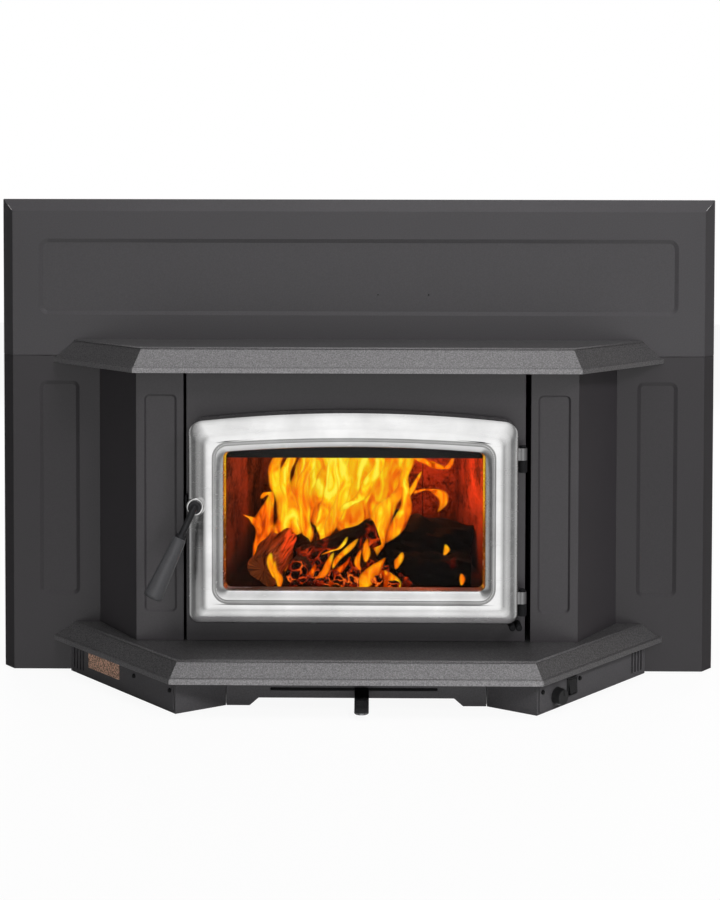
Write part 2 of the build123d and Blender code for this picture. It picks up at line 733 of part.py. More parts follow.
with BuildPart() as collar_bolts:
    with BuildSketch(Plane.XY.offset(firebox_top)):
        with Locations((0, FLUE_Y)):
            with PolarLocations(bolt_circle, COLLAR_BOLTS):
                Circle(COLLAR_BOLT / 2)
    extrude(amount=COLLAR_FLANGE_PLATE)
    with BuildSketch(Plane.XY.offset(firebox_top + COLLAR_FLANGE_PLATE)):
        with Locations((0, FLUE_Y)):
            with PolarLocations(bolt_circle, COLLAR_BOLTS):
                RegularPolygon(COLLAR_BOLT_HEAD / 2, 6, major_radius=False)
    extrude(amount=COLLAR_BOLT_RISE)
collar_bolts.part.label = "collar_bolts"
export_step(collar_bolts.part, "parts/collar_bolts.step")

# The base pan lies on the hearth under the casing, with a tongue forward under the firebox.
tongue_half = BOX_FOLD_X - BOX_SHEET
with BuildPart() as base_pan:
    with BuildSketch(Plane.XY):
        Polygon(*casing_wall_path(), align=None)
        with Locations((0, (SURROUND_SHEET - PAN_FRONT) / 2)):
            Rectangle(2 * tongue_half, PAN_FRONT + SURROUND_SHEET)
        with Locations((LEVER_X, -GUIDE_FRONT + GUIDE_WIDTH / 2)):
            Circle(AIR_HOLE / 2, mode=Mode.SUBTRACT)
    extrude(amount=CASING_SHEET)
base_pan.part.label = "base_pan"
export_step(base_pan.part, "parts/base_pan.step")

# The casing stands on the pan round the firebox; its top sheet has the hole for the collar.
casing_top = CASING_HEIGHT - CASING_SHEET
with BuildPart() as convection_casing:
    with BuildSketch(Plane.XY.offset(CASING_SHEET)):
        Polygon(*folded_outline(casing_wall_path(), CASING_SHEET), align=None)
    extrude(amount=CASING_HEIGHT - CASING_SHEET)
    with BuildSketch(Plane.XY.offset(casing_top)):
        Polygon(*casing_wall_path(), align=None)
        with Locations((0, FLUE_Y)):
            Circle(collar_outer + COLLAR_WALL, mode=Mode.SUBTRACT)
    extrude(amount=CASING_SHEET)
convection_casing.part.label = "convection_casing"
export_step(convection_casing.part, "parts/convection_casing.step")

# Two channel rails on the pan carry the firebox.
rail_length = firebox_rear - 2 * RAIL_WIDTH
with BuildPart() as support_rails:
    for sign in (-1, 1):
        with BuildSketch(Plane.XZ.offset(-rail_length - RAIL_WIDTH)):
            with Locations((sign * RAIL_SPACING / 2, CASING_SHEET + RAIL_HEIGHT / 2)):
                Rectangle(RAIL_WIDTH, RAIL_HEIGHT)
                with Locations((sign * RAIL_SHEET, 0)):
                    Rectangle(RAIL_WIDTH, RAIL_HEIGHT - 2 * RAIL_SHEET, mode=Mode.SUBTRACT)
        extrude(amount=rail_length)
support_rails.part.label = "support_rails"
export_step(support_rails.part, "parts/support_rails.step")

# The duct takes combustion air back under the firebox floor.
with BuildPart() as air_duct:
    with BuildSketch(Plane.XZ.offset(-RAIL_WIDTH)):
        with Locations((LEVER_X, firebox_bottom - DUCT_HEIGHT / 2)):
            Rectangle(DUCT_WIDTH, DUCT_HEIGHT)
            Rectangle(DUCT_WIDTH - 2 * DUCT_SHEET, DUCT_HEIGHT - 2 * DUCT_SHEET,
                      mode=Mode.SUBTRACT)
    extrude(amount=-DUCT_LENGTH)
air_duct.part.label = "air_duct"
export_step(air_duct.part, "parts/air_duct.step")


# ---------------------------------------------------------------- lining of the firebox
brick_floor_z = firebox_bottom + FIREBOX_PLATE
brick_wall_z = brick_floor_z + BRICK
brick_front = firebox_front - BRICK_FRONT_GAP
brick_bend = FIREBOX_STRAIGHT - firebox_front
brick_rear = firebox_rear - FIREBOX_PLATE

with BuildPart() as firebrick_floor:
    with BuildSketch(Plane.XY.offset(brick_floor_z)):
        Polygon(*firebox_wall_path(FIREBOX_PLATE + BRICK_JOINT, brick_front), align=None)
    extrude(amount=BRICK)
    rows = int((brick_front + brick_rear) // BRICK_PITCH)
    columns = int(FIREBOX_WIDTH // BRICK_PITCH)
    with BuildSketch(Plane.XY.offset(brick_floor_z)):
        with Locations(*[(0, brick_rear - BRICK_PITCH * row) for row in range(1, rows + 1)]):
            Rectangle(FIREBOX_WIDTH, BRICK_JOINT)
        shift = (columns - 1) / 2
        with Locations(*[((column - shift) * BRICK_PITCH, 0) for column in range(columns)]):
            Rectangle(BRICK_JOINT, 2 * FIREBOX_DEPTH)
    extrude(amount=BRICK, mode=Mode.SUBTRACT)
firebrick_floor.part.label = "firebrick_floor"
export_step(firebrick_floor.part, "parts/firebrick_floor.step")

for side, sign in SIDES:
    with BuildPart() as brick_side:
        wall = firebox_wall_path(FIREBOX_PLATE + BRICK_JOINT, brick_front)[:3]
        with BuildSketch(Plane.XY.offset(brick_wall_z)):
            Polygon(*mirrored(folded_outline(wall, BRICK), sign), align=None)
            with Locations((0, brick_rear)):
                Rectangle(FIREBOX_WIDTH, 2 * (BRICK + 2 * BRICK_JOINT), mode=Mode.SUBTRACT)
            joints = [brick_bend, (brick_bend - brick_front) / 2, (brick_bend + brick_rear) / 2]
            with Locations(*[(0, y) for y in joints]):
                Rectangle(FIREBOX_WIDTH, BRICK_JOINT, mode=Mode.SUBTRACT)
        extrude(amount=BRICK_WALL_HEIGHT)
    brick_side.part.label = f"firebrick_{side}"
    export_step(brick_side.part, f"parts/firebrick_{side}.step")

with BuildPart() as firebrick_back:
    back_half = FIREBOX_REAR_WIDTH / 2 - FIREBOX_PLATE - BRICK_JOINT
    with BuildSketch(Plane.XY.offset(brick_wall_z)):
        with Locations((0, brick_rear - BRICK_JOINT - BRICK / 2)):
            Rectangle(2 * back_half, BRICK)
            with GridLocations(BRICK_PITCH, 0, 3, 1):
                Rectangle(BRICK_JOINT, 2 * BRICK, mode=Mode.SUBTRACT)
    extrude(amount=BRICK_WALL_HEIGHT)
firebrick_back.part.label = "firebrick_back"
export_step(firebrick_back.part, "parts/firebrick_back.step")

# The baffle lies on the side bricks under the firebox top.
baffle_z = brick_wall_z + BRICK_WALL_HEIGHT
with BuildPart() as baffle:
    plan = firebox_wall_path(FIREBOX_PLATE + BRICK - BAFFLE_SEAT, BAFFLE_FRONT)
    with BuildSketch(Plane.XY.offset(baffle_z)):
        Polygon(*plan, align=None)
        with Locations((0, brick_rear)):
            Rectangle(FIREBOX_WIDTH, 2 * BAFFLE_REAR_GAP, mode=Mode.SUBTRACT)
    extrude(amount=BAFFLE_THICK)
baffle.part.label = "baffle"
export_step(baffle.part, "parts/baffle.step")

# Angle clips at the front ends of the side walls hold the top bricks back.
with BuildPart() as brick_retainers:
    with BuildSketch(Plane.XY.offset(baffle_z - RETAINER_HEIGHT)):
        for sign in (-1, 1):
            half = FIREBOX_WIDTH / 2 - FIREBOX_PLATE
            outline = [
                (half, -firebox_front), (half, -brick_front),
                (half - RETAINER_WIDTH, -brick_front),
                (half - RETAINER_WIDTH, -brick_front - RETAINER_SHEET),
                (half - RETAINER_SHEET, -brick_front - RETAINER_SHEET),
                (half - RETAINER_SHEET, -firebox_front),
            ]
            Polygon(*mirrored(outline, sign), align=None)
    extrude(amount=RETAINER_HEIGHT)
brick_retainers.part.label = "brick_retainers"
export_step(brick_retainers.part, "parts/brick_retainers.step")

# A bent bar behind the top of the throat turns clean air down over the glass.
throat_top = window_bottom + WINDOW_SIDE_HEIGHT
with BuildPart() as airwash_bar:
    foot = throat_top + THROAT_MARGIN + WINDOW_CROWN + AIRWASH_SEAT
    top_edge = foot + AIRWASH_SHEET
    low_edge = throat_top - AIRWASH_DROP
    bar_front = -firebox_front + AIRWASH_DEPTH
    window_middle = window_left + WINDOW_WIDTH / 2
    with BuildSketch(Plane.YZ.offset(window_middle - AIRWASH_HALF)):
        Polygon(
            (-firebox_front, top_edge), (-firebox_front, foot),
            (bar_front - AIRWASH_SHEET, foot), (bar_front - AIRWASH_SHEET, low_edge),
            (bar_front, low_edge), (bar_front, top_edge), align=None,
        )
    extrude(amount=2 * AIRWASH_HALF)
airwash_bar.part.label = "airwash_bar"
export_step(airwash_bar.part, "parts/airwash_bar.step")


# ---------------------------------------------------------------- boxes under the ledge
def box_outline():
    return [(BOX_FOLD_X, 0), (BOX_FOLD_X, -BOX_FOLD_DEPTH),
            (BOX_HALF_WIDTH - BOX_DEPTH, -BOX_DEPTH), (BOX_HALF_WIDTH, 0)]


wall_length = BOX_DEPTH / HALF_TURN
box_low = ledge_under - BOX_RIM_DROP
for side, sign in SIDES:
    with BuildPart() as blower_box:
        with BuildSketch(Plane.XY):
            Polygon(*mirrored(box_outline(), sign), align=None)
        extrude(amount=ledge_under)
        with BuildSketch(Plane.XY.offset(BOX_SHEET)):
            Polygon(*mirrored(box_outline(), sign), align=None)
            offset(amount=-BOX_SHEET, kind=Kind.INTERSECTION)
        extrude(amount=ledge_under, mode=Mode.SUBTRACT)
        with BuildSketch(Plane.XY.offset(box_low)):
            Rectangle(2 * bay_half, 4 * LEDGE_DEPTH)
            Polygon(*bay_outline(LEDGE_DEPTH, LEDGE_BEVEL + LEDGE_PLATE), align=None,
                    mode=Mode.SUBTRACT)
            with Locations((0, LEDGE_DEPTH)):
                Rectangle(2 * BOX_FOLD_X, 2 * LEDGE_DEPTH, mode=Mode.SUBTRACT)
        extrude(amount=BOX_RIM_DROP, mode=Mode.SUBTRACT)
        with BuildSketch(slanting_wall(sign)):
            slots = [
                (sign * (wall_length - VENT_FROM_REAR - slot * VENT_PITCH),
                 VENT_LIFT + VENT_HEIGHT / 2)
                for slot in range(VENT_SLOTS)
            ]
            with Locations(*slots):
                Rectangle(VENT_WIDTH, VENT_HEIGHT)
            window_middle_z = COVER_LIFT + COVER_HEIGHT / 2
            with Locations((sign * (COVER_START + COVER_LENGTH / 2), window_middle_z)):
                RectangleRounded(COVER_LENGTH - 4 * COVER_WINDOW_MARGIN,
                                 COVER_HEIGHT - COVER_WINDOW_MARGIN, COVER_RADIUS)
            screw_spots = [
                (sign * (COVER_SCREW_FIRST + step * COVER_SCREW_PITCH), COVER_SCREW_LIFT)
                for step in (0, 1)
            ]
            with Locations(*screw_spots):
                Circle(SCREW_SHANK / 2 + PRESS_FIT)
        extrude(amount=-BOX_SHEET, mode=Mode.SUBTRACT)
        with BuildSketch(Plane.YZ.offset(sign * BOX_FOLD_X)):
            with Locations((-BOX_FOLD_DEPTH / 2, ledge_under / 2)):
                RectangleRounded(BOX_FOLD_DEPTH - 2 * BOX_PASS_EDGE,
                                 ledge_under - 2 * BOX_PASS_SILL,
                                 BOX_PASS_RADIUS)
        extrude(amount=sign * BOX_SHEET, mode=Mode.SUBTRACT)
    blower_box.part.label = f"blower_box_{side}"
    export_step(blower_box.part, f"parts/blower_box_{side}.step")

# The plate between the boxes, with the raised foot and the slot for the air lever.
with BuildPart() as centre_panel:
    half = BOX_FOLD_X - CENTRE_GAP
    with BuildSketch(facing(BOX_FOLD_DEPTH - BOX_SHEET)):
        Polygon(
            (-half, 0), (-CENTRE_NOTCH_HALF - CENTRE_NOTCH_FOOT, 0),
            (-CENTRE_NOTCH_HALF, CENTRE_NOTCH), (CENTRE_NOTCH_HALF, CENTRE_NOTCH),
            (CENTRE_NOTCH_HALF + CENTRE_NOTCH_FOOT, 0), (half, 0),
            (half, ledge_under), (-half, ledge_under), align=None,
        )
        with Locations(((SLOT_RIGHT - SLOT_LEFT) / 2, LEVER_Z)):
            SlotOverall(SLOT_LEFT + SLOT_RIGHT, SLOT_HEIGHT, mode=Mode.SUBTRACT)
    extrude(amount=BOX_SHEET)
centre_panel.part.label = "centre_panel"
export_step(centre_panel.part, "parts/centre_panel.step")

# Cover plates over the front of both slanting walls: plain on the left, controls on the right.
for side, sign in SIDES:
    with BuildPart() as cover:
        with BuildSketch(slanting_wall(sign)):
            with Locations((sign * (COVER_START + COVER_LENGTH / 2),
                            COVER_LIFT + COVER_HEIGHT / 2)):
                RectangleRounded(COVER_LENGTH, COVER_HEIGHT, COVER_RADIUS)
            with Locations(*[
                (sign * (COVER_SCREW_FIRST + step * COVER_SCREW_PITCH), COVER_SCREW_LIFT)
                for step in (0, 1)
            ]):
                Circle(SCREW_SHANK / 2 + PRESS_FIT, mode=Mode.SUBTRACT)
            if sign > 0:
                with Locations((KNOB_AT, KNOB_LIFT)):
                    Circle(KNOB_SHAFT / 2 + SHAFT_FIT, mode=Mode.SUBTRACT)
                with Locations((SWITCH_AT, SWITCH_LIFT)):
                    Rectangle(SWITCH_WIDTH - 2 * SWITCH_WALL, SWITCH_HEIGHT - 2 * SWITCH_WALL,
                              mode=Mode.SUBTRACT)
        extrude(amount=COVER_PLATE)
    cover_name = "control_plate" if sign > 0 else "access_cover"
    cover.part.label = cover_name
    export_step(cover.part, f"parts/{cover_name}.step")

with BuildPart() as cover_screws:
    for sign in (-1, 1):
        for step in (0, 1):
            spot = (sign * (COVER_SCREW_FIRST + step * COVER_SCREW_PITCH), COVER_SCREW_LIFT)
            with BuildSketch(slanting_wall(sign, COVER_PLATE)):
                with Locations(spot):
                    Circle(SCREW_SHANK / 2)
            extrude(amount=-SCREW_LENGTH)
            with BuildSketch(slanting_wall(sign, COVER_PLATE)):
                with Locations(spot):
                    Circle(SCREW_HEAD / 2)
            extrude(amount=SCREW_RISE, taper=SCREW_DRAFT)
cover_screws.part.label = "cover_screws"
export_step(cover_screws.part, "parts/cover_screws.step")

with BuildPart() as data_plate:
    with BuildSketch(slanting_wall(-1)):
        with Locations((-DATA_PLATE_AT - DATA_PLATE_LENGTH / 2,
                        DATA_PLATE_LIFT + DATA_PLATE_HEIGHT / 2)):
            RectangleRounded(DATA_PLATE_LENGTH, DATA_PLATE_HEIGHT, DATA_PLATE_RADIUS)
    extrude(amount=DATA_PLATE_SHEET)
data_plate.part.label = "data_plate"
export_step(data_plate.part, "parts/data_plate.step")

# The speed control and the rocker switch hang behind the control plate.
with BuildPart() as speed_control:
    with BuildSketch(slanting_wall(1)):
        with Locations((KNOB_AT, COVER_LIFT + COVER_HEIGHT / 2)):
            Rectangle(CONTROL_SIZE, CONTROL_SIZE)
        with Locations((KNOB_AT, KNOB_LIFT)):
            Circle(KNOB_SHAFT / 2 + SHAFT_FIT, mode=Mode.SUBTRACT)
    extrude(amount=-CONTROL_DEPTH)
speed_control.part.label = "speed_control"
export_step(speed_control.part, "parts/speed_control.step")

with BuildPart() as speed_knob:
    knob_base = COVER_PLATE + RUNNING
    with BuildSketch(slanting_wall(1, knob_base)):
        with Locations((KNOB_AT, KNOB_LIFT)):
            Circle(KNOB_DIAMETER / 2)
    extrude(amount=KNOB_HEIGHT, taper=KNOB_DRAFT)
    fillet(speed_knob.edges().filter_by(GeomType.CIRCLE).sort_by(SortBy.RADIUS)[0], KNOB_EASE)
    with BuildSketch(slanting_wall(1, knob_base + KNOB_HEIGHT)):
        with Locations((KNOB_AT, KNOB_LIFT + KNOB_DIAMETER / 4)):
            Rectangle(KNOB_MARK, KNOB_DIAMETER / 3)
    extrude(amount=-KNOB_EASE, mode=Mode.SUBTRACT)
    with BuildSketch(slanting_wall(1, knob_base)):
        with Locations((KNOB_AT, KNOB_LIFT)):
            Circle(KNOB_SHAFT / 2)
    extrude(amount=-CONTROL_DEPTH - COVER_PLATE)
speed_knob.part.label = "speed_knob"
export_step(speed_knob.part, "parts/speed_knob.step")

inner_width = SWITCH_WIDTH - 2 * SWITCH_WALL - 2 * PRESS_FIT
inner_height = SWITCH_HEIGHT - 2 * SWITCH_WALL - 2 * PRESS_FIT
with BuildPart() as switch_body:
    with BuildSketch(slanting_wall(1, COVER_PLATE)):
        with Locations((SWITCH_AT, SWITCH_LIFT)):
            RectangleRounded(SWITCH_WIDTH, SWITCH_HEIGHT, SWITCH_WALL)
    extrude(amount=SWITCH_WALL)
    with BuildSketch(slanting_wall(1, COVER_PLATE)):
        with Locations((SWITCH_AT, SWITCH_LIFT)):
            Rectangle(inner_width, inner_height)
    extrude(amount=-SWITCH_BODY_DEPTH)
    with BuildSketch(slanting_wall(1, COVER_PLATE + SWITCH_WALL)):
        with Locations((SWITCH_AT, SWITCH_LIFT)):
            Rectangle(inner_width - SWITCH_WALL, inner_height - SWITCH_WALL / 2)
    extrude(amount=SWITCH_WALL - SWITCH_BODY_DEPTH, mode=Mode.SUBTRACT)
    with BuildSketch(Plane(
        origin=slanting_wall(1).from_local_coords((SWITCH_AT, SWITCH_LIFT, 0)),
        x_dir=(0, 0, 1), z_dir=(HALF_TURN, HALF_TURN, 0),
    )):
        Circle(SWITCH_PIVOT / 2 + SHAFT_FIT)
    extrude(amount=inner_width, both=True, mode=Mode.SUBTRACT)
switch_body.part.label = "switch_body"
export_step(switch_body.part, "parts/switch_body.step")

# The rocker: a shallow bent paddle on a pivot across the switch.
rocker_plane = Plane(
    origin=slanting_wall(1).from_local_coords((SWITCH_AT, SWITCH_LIFT, 0)),
    x_dir=(HALF_TURN, -HALF_TURN, 0), z_dir=(HALF_TURN, HALF_TURN, 0),
)
with BuildPart() as switch_rocker:
    with BuildSketch(rocker_plane):
        reach = ROCKER_HEIGHT / 2
        Polygon(
            (-ROCKER_THICK / 2, -ROCKER_THICK / 2), (0, -reach), (ROCKER_THICK * 0.75, -reach),
            (ROCKER_THICK * 0.7, 0), (ROCKER_THICK * 0.75, reach), (0, reach),
            (-ROCKER_THICK / 2, ROCKER_THICK / 2), rotation=-ROCKER_LEAN, align=None,
        )
    extrude(amount=ROCKER_WIDTH / 2, both=True)
    with BuildSketch(rocker_plane):
        Circle(SWITCH_PIVOT / 2)
    extrude(amount=inner_width / 2, both=True)
switch_rocker.part.label = "switch_rocker"
export_step(switch_rocker.part, "parts/switch_rocker.step")


# ---------------------------------------------------------------- blowers in the boxes
wheel_half = WHEEL_LENGTH / 2
end_plate = wheel_half + HOUSING_GAP
scroll_radius = WHEEL_RADIUS + HOUSING_GAP
motor_front = end_plate + HOUSING_SHEET + HOUSING_GAP
blower_lift = BOX_SHEET + HOUSING_SHEET + scroll_radius
plate_drop = blower_lift - BOX_SHEET


def blower_plane(sign, along=0.0):
    """Plane across the blower's shaft, this far from its middle towards the back."""
    wall = slanting_wall(sign)
    place = wall.from_local_coords((sign * (BLOWER_AT + along), blower_lift, -BLOWER_INSET))
    return Plane(origin=place, x_dir=-wall.z_dir, z_dir=(sign * HALF_TURN, HALF_TURN, 0))


for side, sign in SIDES:
    # Each housing is a scroll of sheet on the box floor, with an end plate at each bearing.
    up = 1 if blower_plane(sign).y_dir.Z > 0 else -1
    with BuildPart() as blower_housing:
        for along in (-end_plate - HOUSING_SHEET, end_plate):
            with BuildSketch(blower_plane(sign, along)):
                Circle(scroll_radius + HOUSING_SHEET)
                with Locations((0, -up * plate_drop / 2)):
                    Rectangle(2 * scroll_radius, plate_drop)
                Circle(BLOWER_SHAFT / 2 + SHAFT_FIT, mode=Mode.SUBTRACT)
            extrude(amount=HOUSING_SHEET)
        with BuildSketch(blower_plane(sign, -end_plate)):
            Circle(scroll_radius + HOUSING_SHEET)
            Circle(scroll_radius, mode=Mode.SUBTRACT)
            with Locations((scroll_radius, 0)):
                Rectangle(2 * scroll_radius, 4 * scroll_radius, mode=Mode.SUBTRACT)
        extrude(amount=2 * end_plate)
        with BuildSketch(blower_plane(sign, -end_plate)):
            with Locations((0, -up * (plate_drop - HOUSING_SHEET / 2))):
                Rectangle(2 * scroll_radius, HOUSING_SHEET)
        extrude(amount=2 * end_plate)
    blower_housing.part.label = f"blower_housing_{side}"
    export_step(blower_housing.part, f"parts/blower_housing_{side}.step")

    # The motor stands on its own foot in front of the housing.
    with BuildPart() as blower_motor:
        with BuildSketch(blower_plane(sign, -motor_front)):
            Circle(MOTOR_RADIUS)
            with Locations((0, -up * plate_drop / 2)):
                Rectangle(MOTOR_FOOT, plate_drop)
            Circle(BLOWER_SHAFT / 2 + SHAFT_FIT, mode=Mode.SUBTRACT)
        extrude(amount=-MOTOR_LENGTH)
    blower_motor.part.label = f"blower_motor_{side}"
    export_step(blower_motor.part, f"parts/blower_motor_{side}.step")

    # The wheel: blades between two discs, on a shaft that runs into the motor.
    with BuildPart() as blower_wheel:
        for along in (-wheel_half, -WHEEL_DISC / 2, wheel_half - WHEEL_DISC):
            with BuildSketch(blower_plane(sign, along)):
                Circle(WHEEL_RADIUS)
                if along > -WHEEL_DISC:
                    Circle(WHEEL_RADIUS - BLADE_CHORD, mode=Mode.SUBTRACT)
            extrude(amount=WHEEL_DISC)
        with BuildSketch(blower_plane(sign, -wheel_half)):
            with PolarLocations(WHEEL_RADIUS - BLADE_CHORD / 2 - BLADE_SINK, WHEEL_BLADES):
                Rectangle(BLADE_CHORD, BLADE_THICK, rotation=BLADE_TURN)
        extrude(amount=WHEEL_LENGTH)
        with BuildSketch(blower_plane(sign, -motor_front - MOTOR_LENGTH / 2)):
            Circle(BLOWER_SHAFT / 2)
        extrude(amount=motor_front + MOTOR_LENGTH / 2 + end_plate + HOUSING_SHEET)
        with BuildSketch(blower_plane(sign, wheel_half - 4 * WHEEL_DISC)):
            Circle(WHEEL_RADIUS - BLADE_CHORD / 2)
            Circle(BLOWER_SHAFT / 4, mode=Mode.SUBTRACT)
            with PolarLocations(WHEEL_RADIUS / 2, HUB_HOLES):
                Circle(WHEEL_RADIUS / 5, mode=Mode.SUBTRACT)
        extrude(amount=WHEEL_DISC)
    blower_wheel.part.label = f"blower_wheel_{side}"
    export_step(blower_wheel.part, f"parts/blower_wheel_{side}.step")


# ---------------------------------------------------------------- combustion air control
slider_z = LEVER_Z - LEVER_SHEET / 2
guide_wall = (GUIDE_WIDTH - SLIDER_WIDTH) / 2
cavity_low = slider_z - RUNNING
cavity_high = LEVER_Z + LEVER_SHEET / 2 + RUNNING
cavity_front = GUIDE_FRONT - guide_wall + RUNNING
cavity_back = GUIDE_FRONT - GUIDE_WIDTH + guide_wall - RUNNING
with BuildPart() as air_guide:
    with BuildSketch(Plane.YZ.offset(-GUIDE_LEFT)):
        Polygon(
            (-GUIDE_FRONT, CASING_SHEET), (-GUIDE_FRONT + GUIDE_WIDTH, CASING_SHEET),
            (-GUIDE_FRONT + GUIDE_WIDTH, GUIDE_TOP), (-GUIDE_FRONT, GUIDE_TOP),
            (-GUIDE_FRONT, cavity_high), (-cavity_back, cavity_high),
            (-cavity_back, cavity_low), (-GUIDE_FRONT, cavity_low), align=None,
        )
    extrude(amount=GUIDE_LEFT + GUIDE_RIGHT)
    with BuildSketch(Plane.XY.offset(CASING_SHEET)):
        with Locations((LEVER_X, -GUIDE_FRONT + GUIDE_WIDTH / 2)):
            Circle(AIR_HOLE / 2)
    extrude(amount=GUIDE_TOP, mode=Mode.SUBTRACT)
air_guide.part.label = "air_guide"
export_step(air_guide.part, "parts/air_guide.step")

with BuildPart() as air_slider:
    with BuildSketch(Plane.XY.offset(slider_z)):
        with Locations((LEVER_X, -(cavity_front + cavity_back) / 2)):
            Rectangle(SLIDER_LENGTH, SLIDER_WIDTH)
    extrude(amount=LEVER_SHEET)
air_slider.part.label = "air_slider"
export_step(air_slider.part, "parts/air_slider.step")

# The lever runs forward from the slider through the slot, then down to its rounded thumb end.
lever_start = (cavity_front + cavity_back) / 2 + SLIDER_WIDTH / 2
with BuildPart() as air_lever:
    low = LEVER_Z + LEVER_SHEET / 2
    low_tip = LEVER_TIP_Z + LEVER_SHEET / 2
    path = [(-lever_start, low), (-LEVER_STRAIGHT, low), (-LEVER_BEND, low_tip),
            (-LEVER_TIP, low_tip)]
    with BuildSketch(Plane.YZ.offset(LEVER_X - LEVER_WIDTH / 2)):
        Polygon(*folded_outline(path, LEVER_SHEET), align=None)
    extrude(amount=LEVER_WIDTH)
    fillet(air_lever.edges().filter_by(Axis.Z).group_by(Axis.Y)[0], LEVER_TIP_RADIUS)
air_lever.part.label = "air_lever"
export_step(air_lever.part, "parts/air_lever.step")


# ---------------------------------------------------------------- door
# The door frame: one casting with sloping edges, a broad crown and a bevel into the window.
slope_depth = door_back + DOOR_WALL + DOOR_SLOPE_RISE
crown_inset = DOOR_SLOPE_RUN + DOOR_CROWN_RUN
with BuildPart() as door_frame:
    extrude(door_face(door_back, 0), amount=DOOR_WALL, dir=(0, -1, 0))
    loft([door_face(door_back + DOOR_WALL, 0), door_face(slope_depth, DOOR_SLOPE_RUN)], ruled=True)
    loft([door_face(slope_depth, DOOR_SLOPE_RUN), door_face(door_front, crown_inset)], ruled=True)
    extrude(window_face(door_front, ROPE_OFFSET + ROPE_WIDTH), amount=ROPE_RISE, dir=(0, -1, 0))
    with BuildSketch(facing(bush_seat)):
        with Locations((handle_x, handle_z)):
            Circle(BUSH_DIAMETER / 2 + PRESS_FIT)
    extrude(amount=BUSH_LENGTH, mode=Mode.SUBTRACT)
    loft(
        [window_face(door_front + ROPE_RISE, ROPE_OFFSET),
         window_face(door_front - WINDOW_BEVEL_DEPTH, ROPE_OFFSET - WINDOW_BEVEL)],
        ruled=True, mode=Mode.SUBTRACT,
    )
    extrude(window_face(door_back, 0), amount=2 * DOOR_WALL, dir=(0, -1, 0), mode=Mode.SUBTRACT)
    extrude(window_face(door_back, POCKET_MARGIN), amount=POCKET_DEPTH, dir=(0, -1, 0),
            mode=Mode.SUBTRACT)
    seal_ring = door_face(door_back, SEAL_INSET) - door_face(door_back, SEAL_INSET + SEAL_WIDTH)
    extrude(seal_ring, amount=SEAL_CHANNEL, dir=(0, -1, 0), mode=Mode.SUBTRACT)
    with BuildSketch(facing(door_back)):
        pocket_right = -DOOR_LEFT + SEAL_INSET - CAM_POCKET_WALL
        pocket_width = pocket_right + DOOR_LEFT + CAM_POCKET_WALL
        with Locations((pocket_right - pocket_width / 2, handle_z)):
            Rectangle(pocket_width, 2 * CAM_POCKET_HALF)
    extrude(amount=CAM_POCKET, mode=Mode.SUBTRACT)
    with BuildSketch(facing(door_back)):
        with Locations((handle_x, handle_z)):
            Circle(HANDLE_SHAFT / 2 + SHAFT_FIT)
    extrude(amount=2 * DOOR_WALL, mode=Mode.SUBTRACT)
    for lift in LUG_LIFTS:
        with BuildSketch(Plane.XY.offset(door_bottom + lift)):
            with Locations((hinge_x, -hinge_depth)):
                Circle(KNUCKLE_RADIUS)
            with Locations((hinge_x - HINGE_OUT, -hinge_depth)):
                Rectangle(2 * HINGE_OUT, LUG_WIDTH)
            with Locations((hinge_x, -hinge_depth)):
                Circle(PIN_RADIUS + SHAFT_FIT, mode=Mode.SUBTRACT)
        extrude(amount=LUG_HEIGHT)
door_frame.part.label = "door_frame"
export_step(door_frame.part, "parts/door_frame.step")

glass_front = door_back + POCKET_DEPTH - GLASS_SEAL
with BuildPart() as door_glass:
    extrude(window_face(glass_front - GLASS, POCKET_MARGIN - GLASS_EDGE_GAP), amount=GLASS,
            dir=(0, -1, 0))
door_glass.part.label = "door_glass"
export_step(door_glass.part, "parts/door_glass.step")

with BuildPart() as glass_seal:
    outer_seal = window_face(glass_front, POCKET_MARGIN - GLASS_EDGE_GAP)
    inner_seal = window_face(glass_front, GLASS_EDGE_GAP)
    extrude(outer_seal - inner_seal, amount=GLASS_SEAL, dir=(0, -1, 0))
glass_seal.part.label = "glass_seal"
export_step(glass_seal.part, "parts/glass_seal.step")

# The rope seal fills its channel and reaches almost to the front plate.
with BuildPart() as door_seal:
    outer_seal = door_face(FACE_DEPTH + RUNNING, SEAL_INSET)
    inner_seal = door_face(FACE_DEPTH + RUNNING, SEAL_INSET + SEAL_WIDTH)
    seal_height = DOOR_STANDOFF + SEAL_CHANNEL - RUNNING
    extrude(outer_seal - inner_seal, amount=seal_height, dir=(0, -1, 0))
door_seal.part.label = "door_seal"
export_step(door_seal.part, "parts/door_seal.step")

# Bent clips on the back of the door press on the glass; each has one screw.
glass_back = glass_front - GLASS
window_x = window_left + WINDOW_WIDTH / 2
window_z = window_bottom + WINDOW_SIDE_HEIGHT / 2
low_edge = window_bottom - POCKET_MARGIN
high_edge = window_bottom + WINDOW_SIDE_HEIGHT + POCKET_MARGIN
arch_at_clip = WINDOW_CROWN * (1 - (2 * CLIP_SPREAD / WINDOW_WIDTH) ** 2)
clip_places = [(window_x + across * CLIP_SPREAD, low_edge, 0) for across in (-1, 1)]
clip_places += [(window_x + across * CLIP_SPREAD, high_edge + arch_at_clip - CLIP_PLAY, 180)
                for across in (-1, 1)]
clip_places += [(window_left - POCKET_MARGIN, window_z - 2 * CLIP_WIDTH, 90),
                (window_left + WINDOW_WIDTH + POCKET_MARGIN, window_z, -90)]


def clip_spots(depth, drop):
    """Places on the clips at this depth, drop mm outside the edge of the glass pocket."""
    spots = []
    for x, z, angle in clip_places:
        turn = math.radians(angle)
        spots.append(Location(
            (x - drop * math.sin(turn), -depth, z - drop * math.cos(turn)), (0, angle, 0)))
    return spots


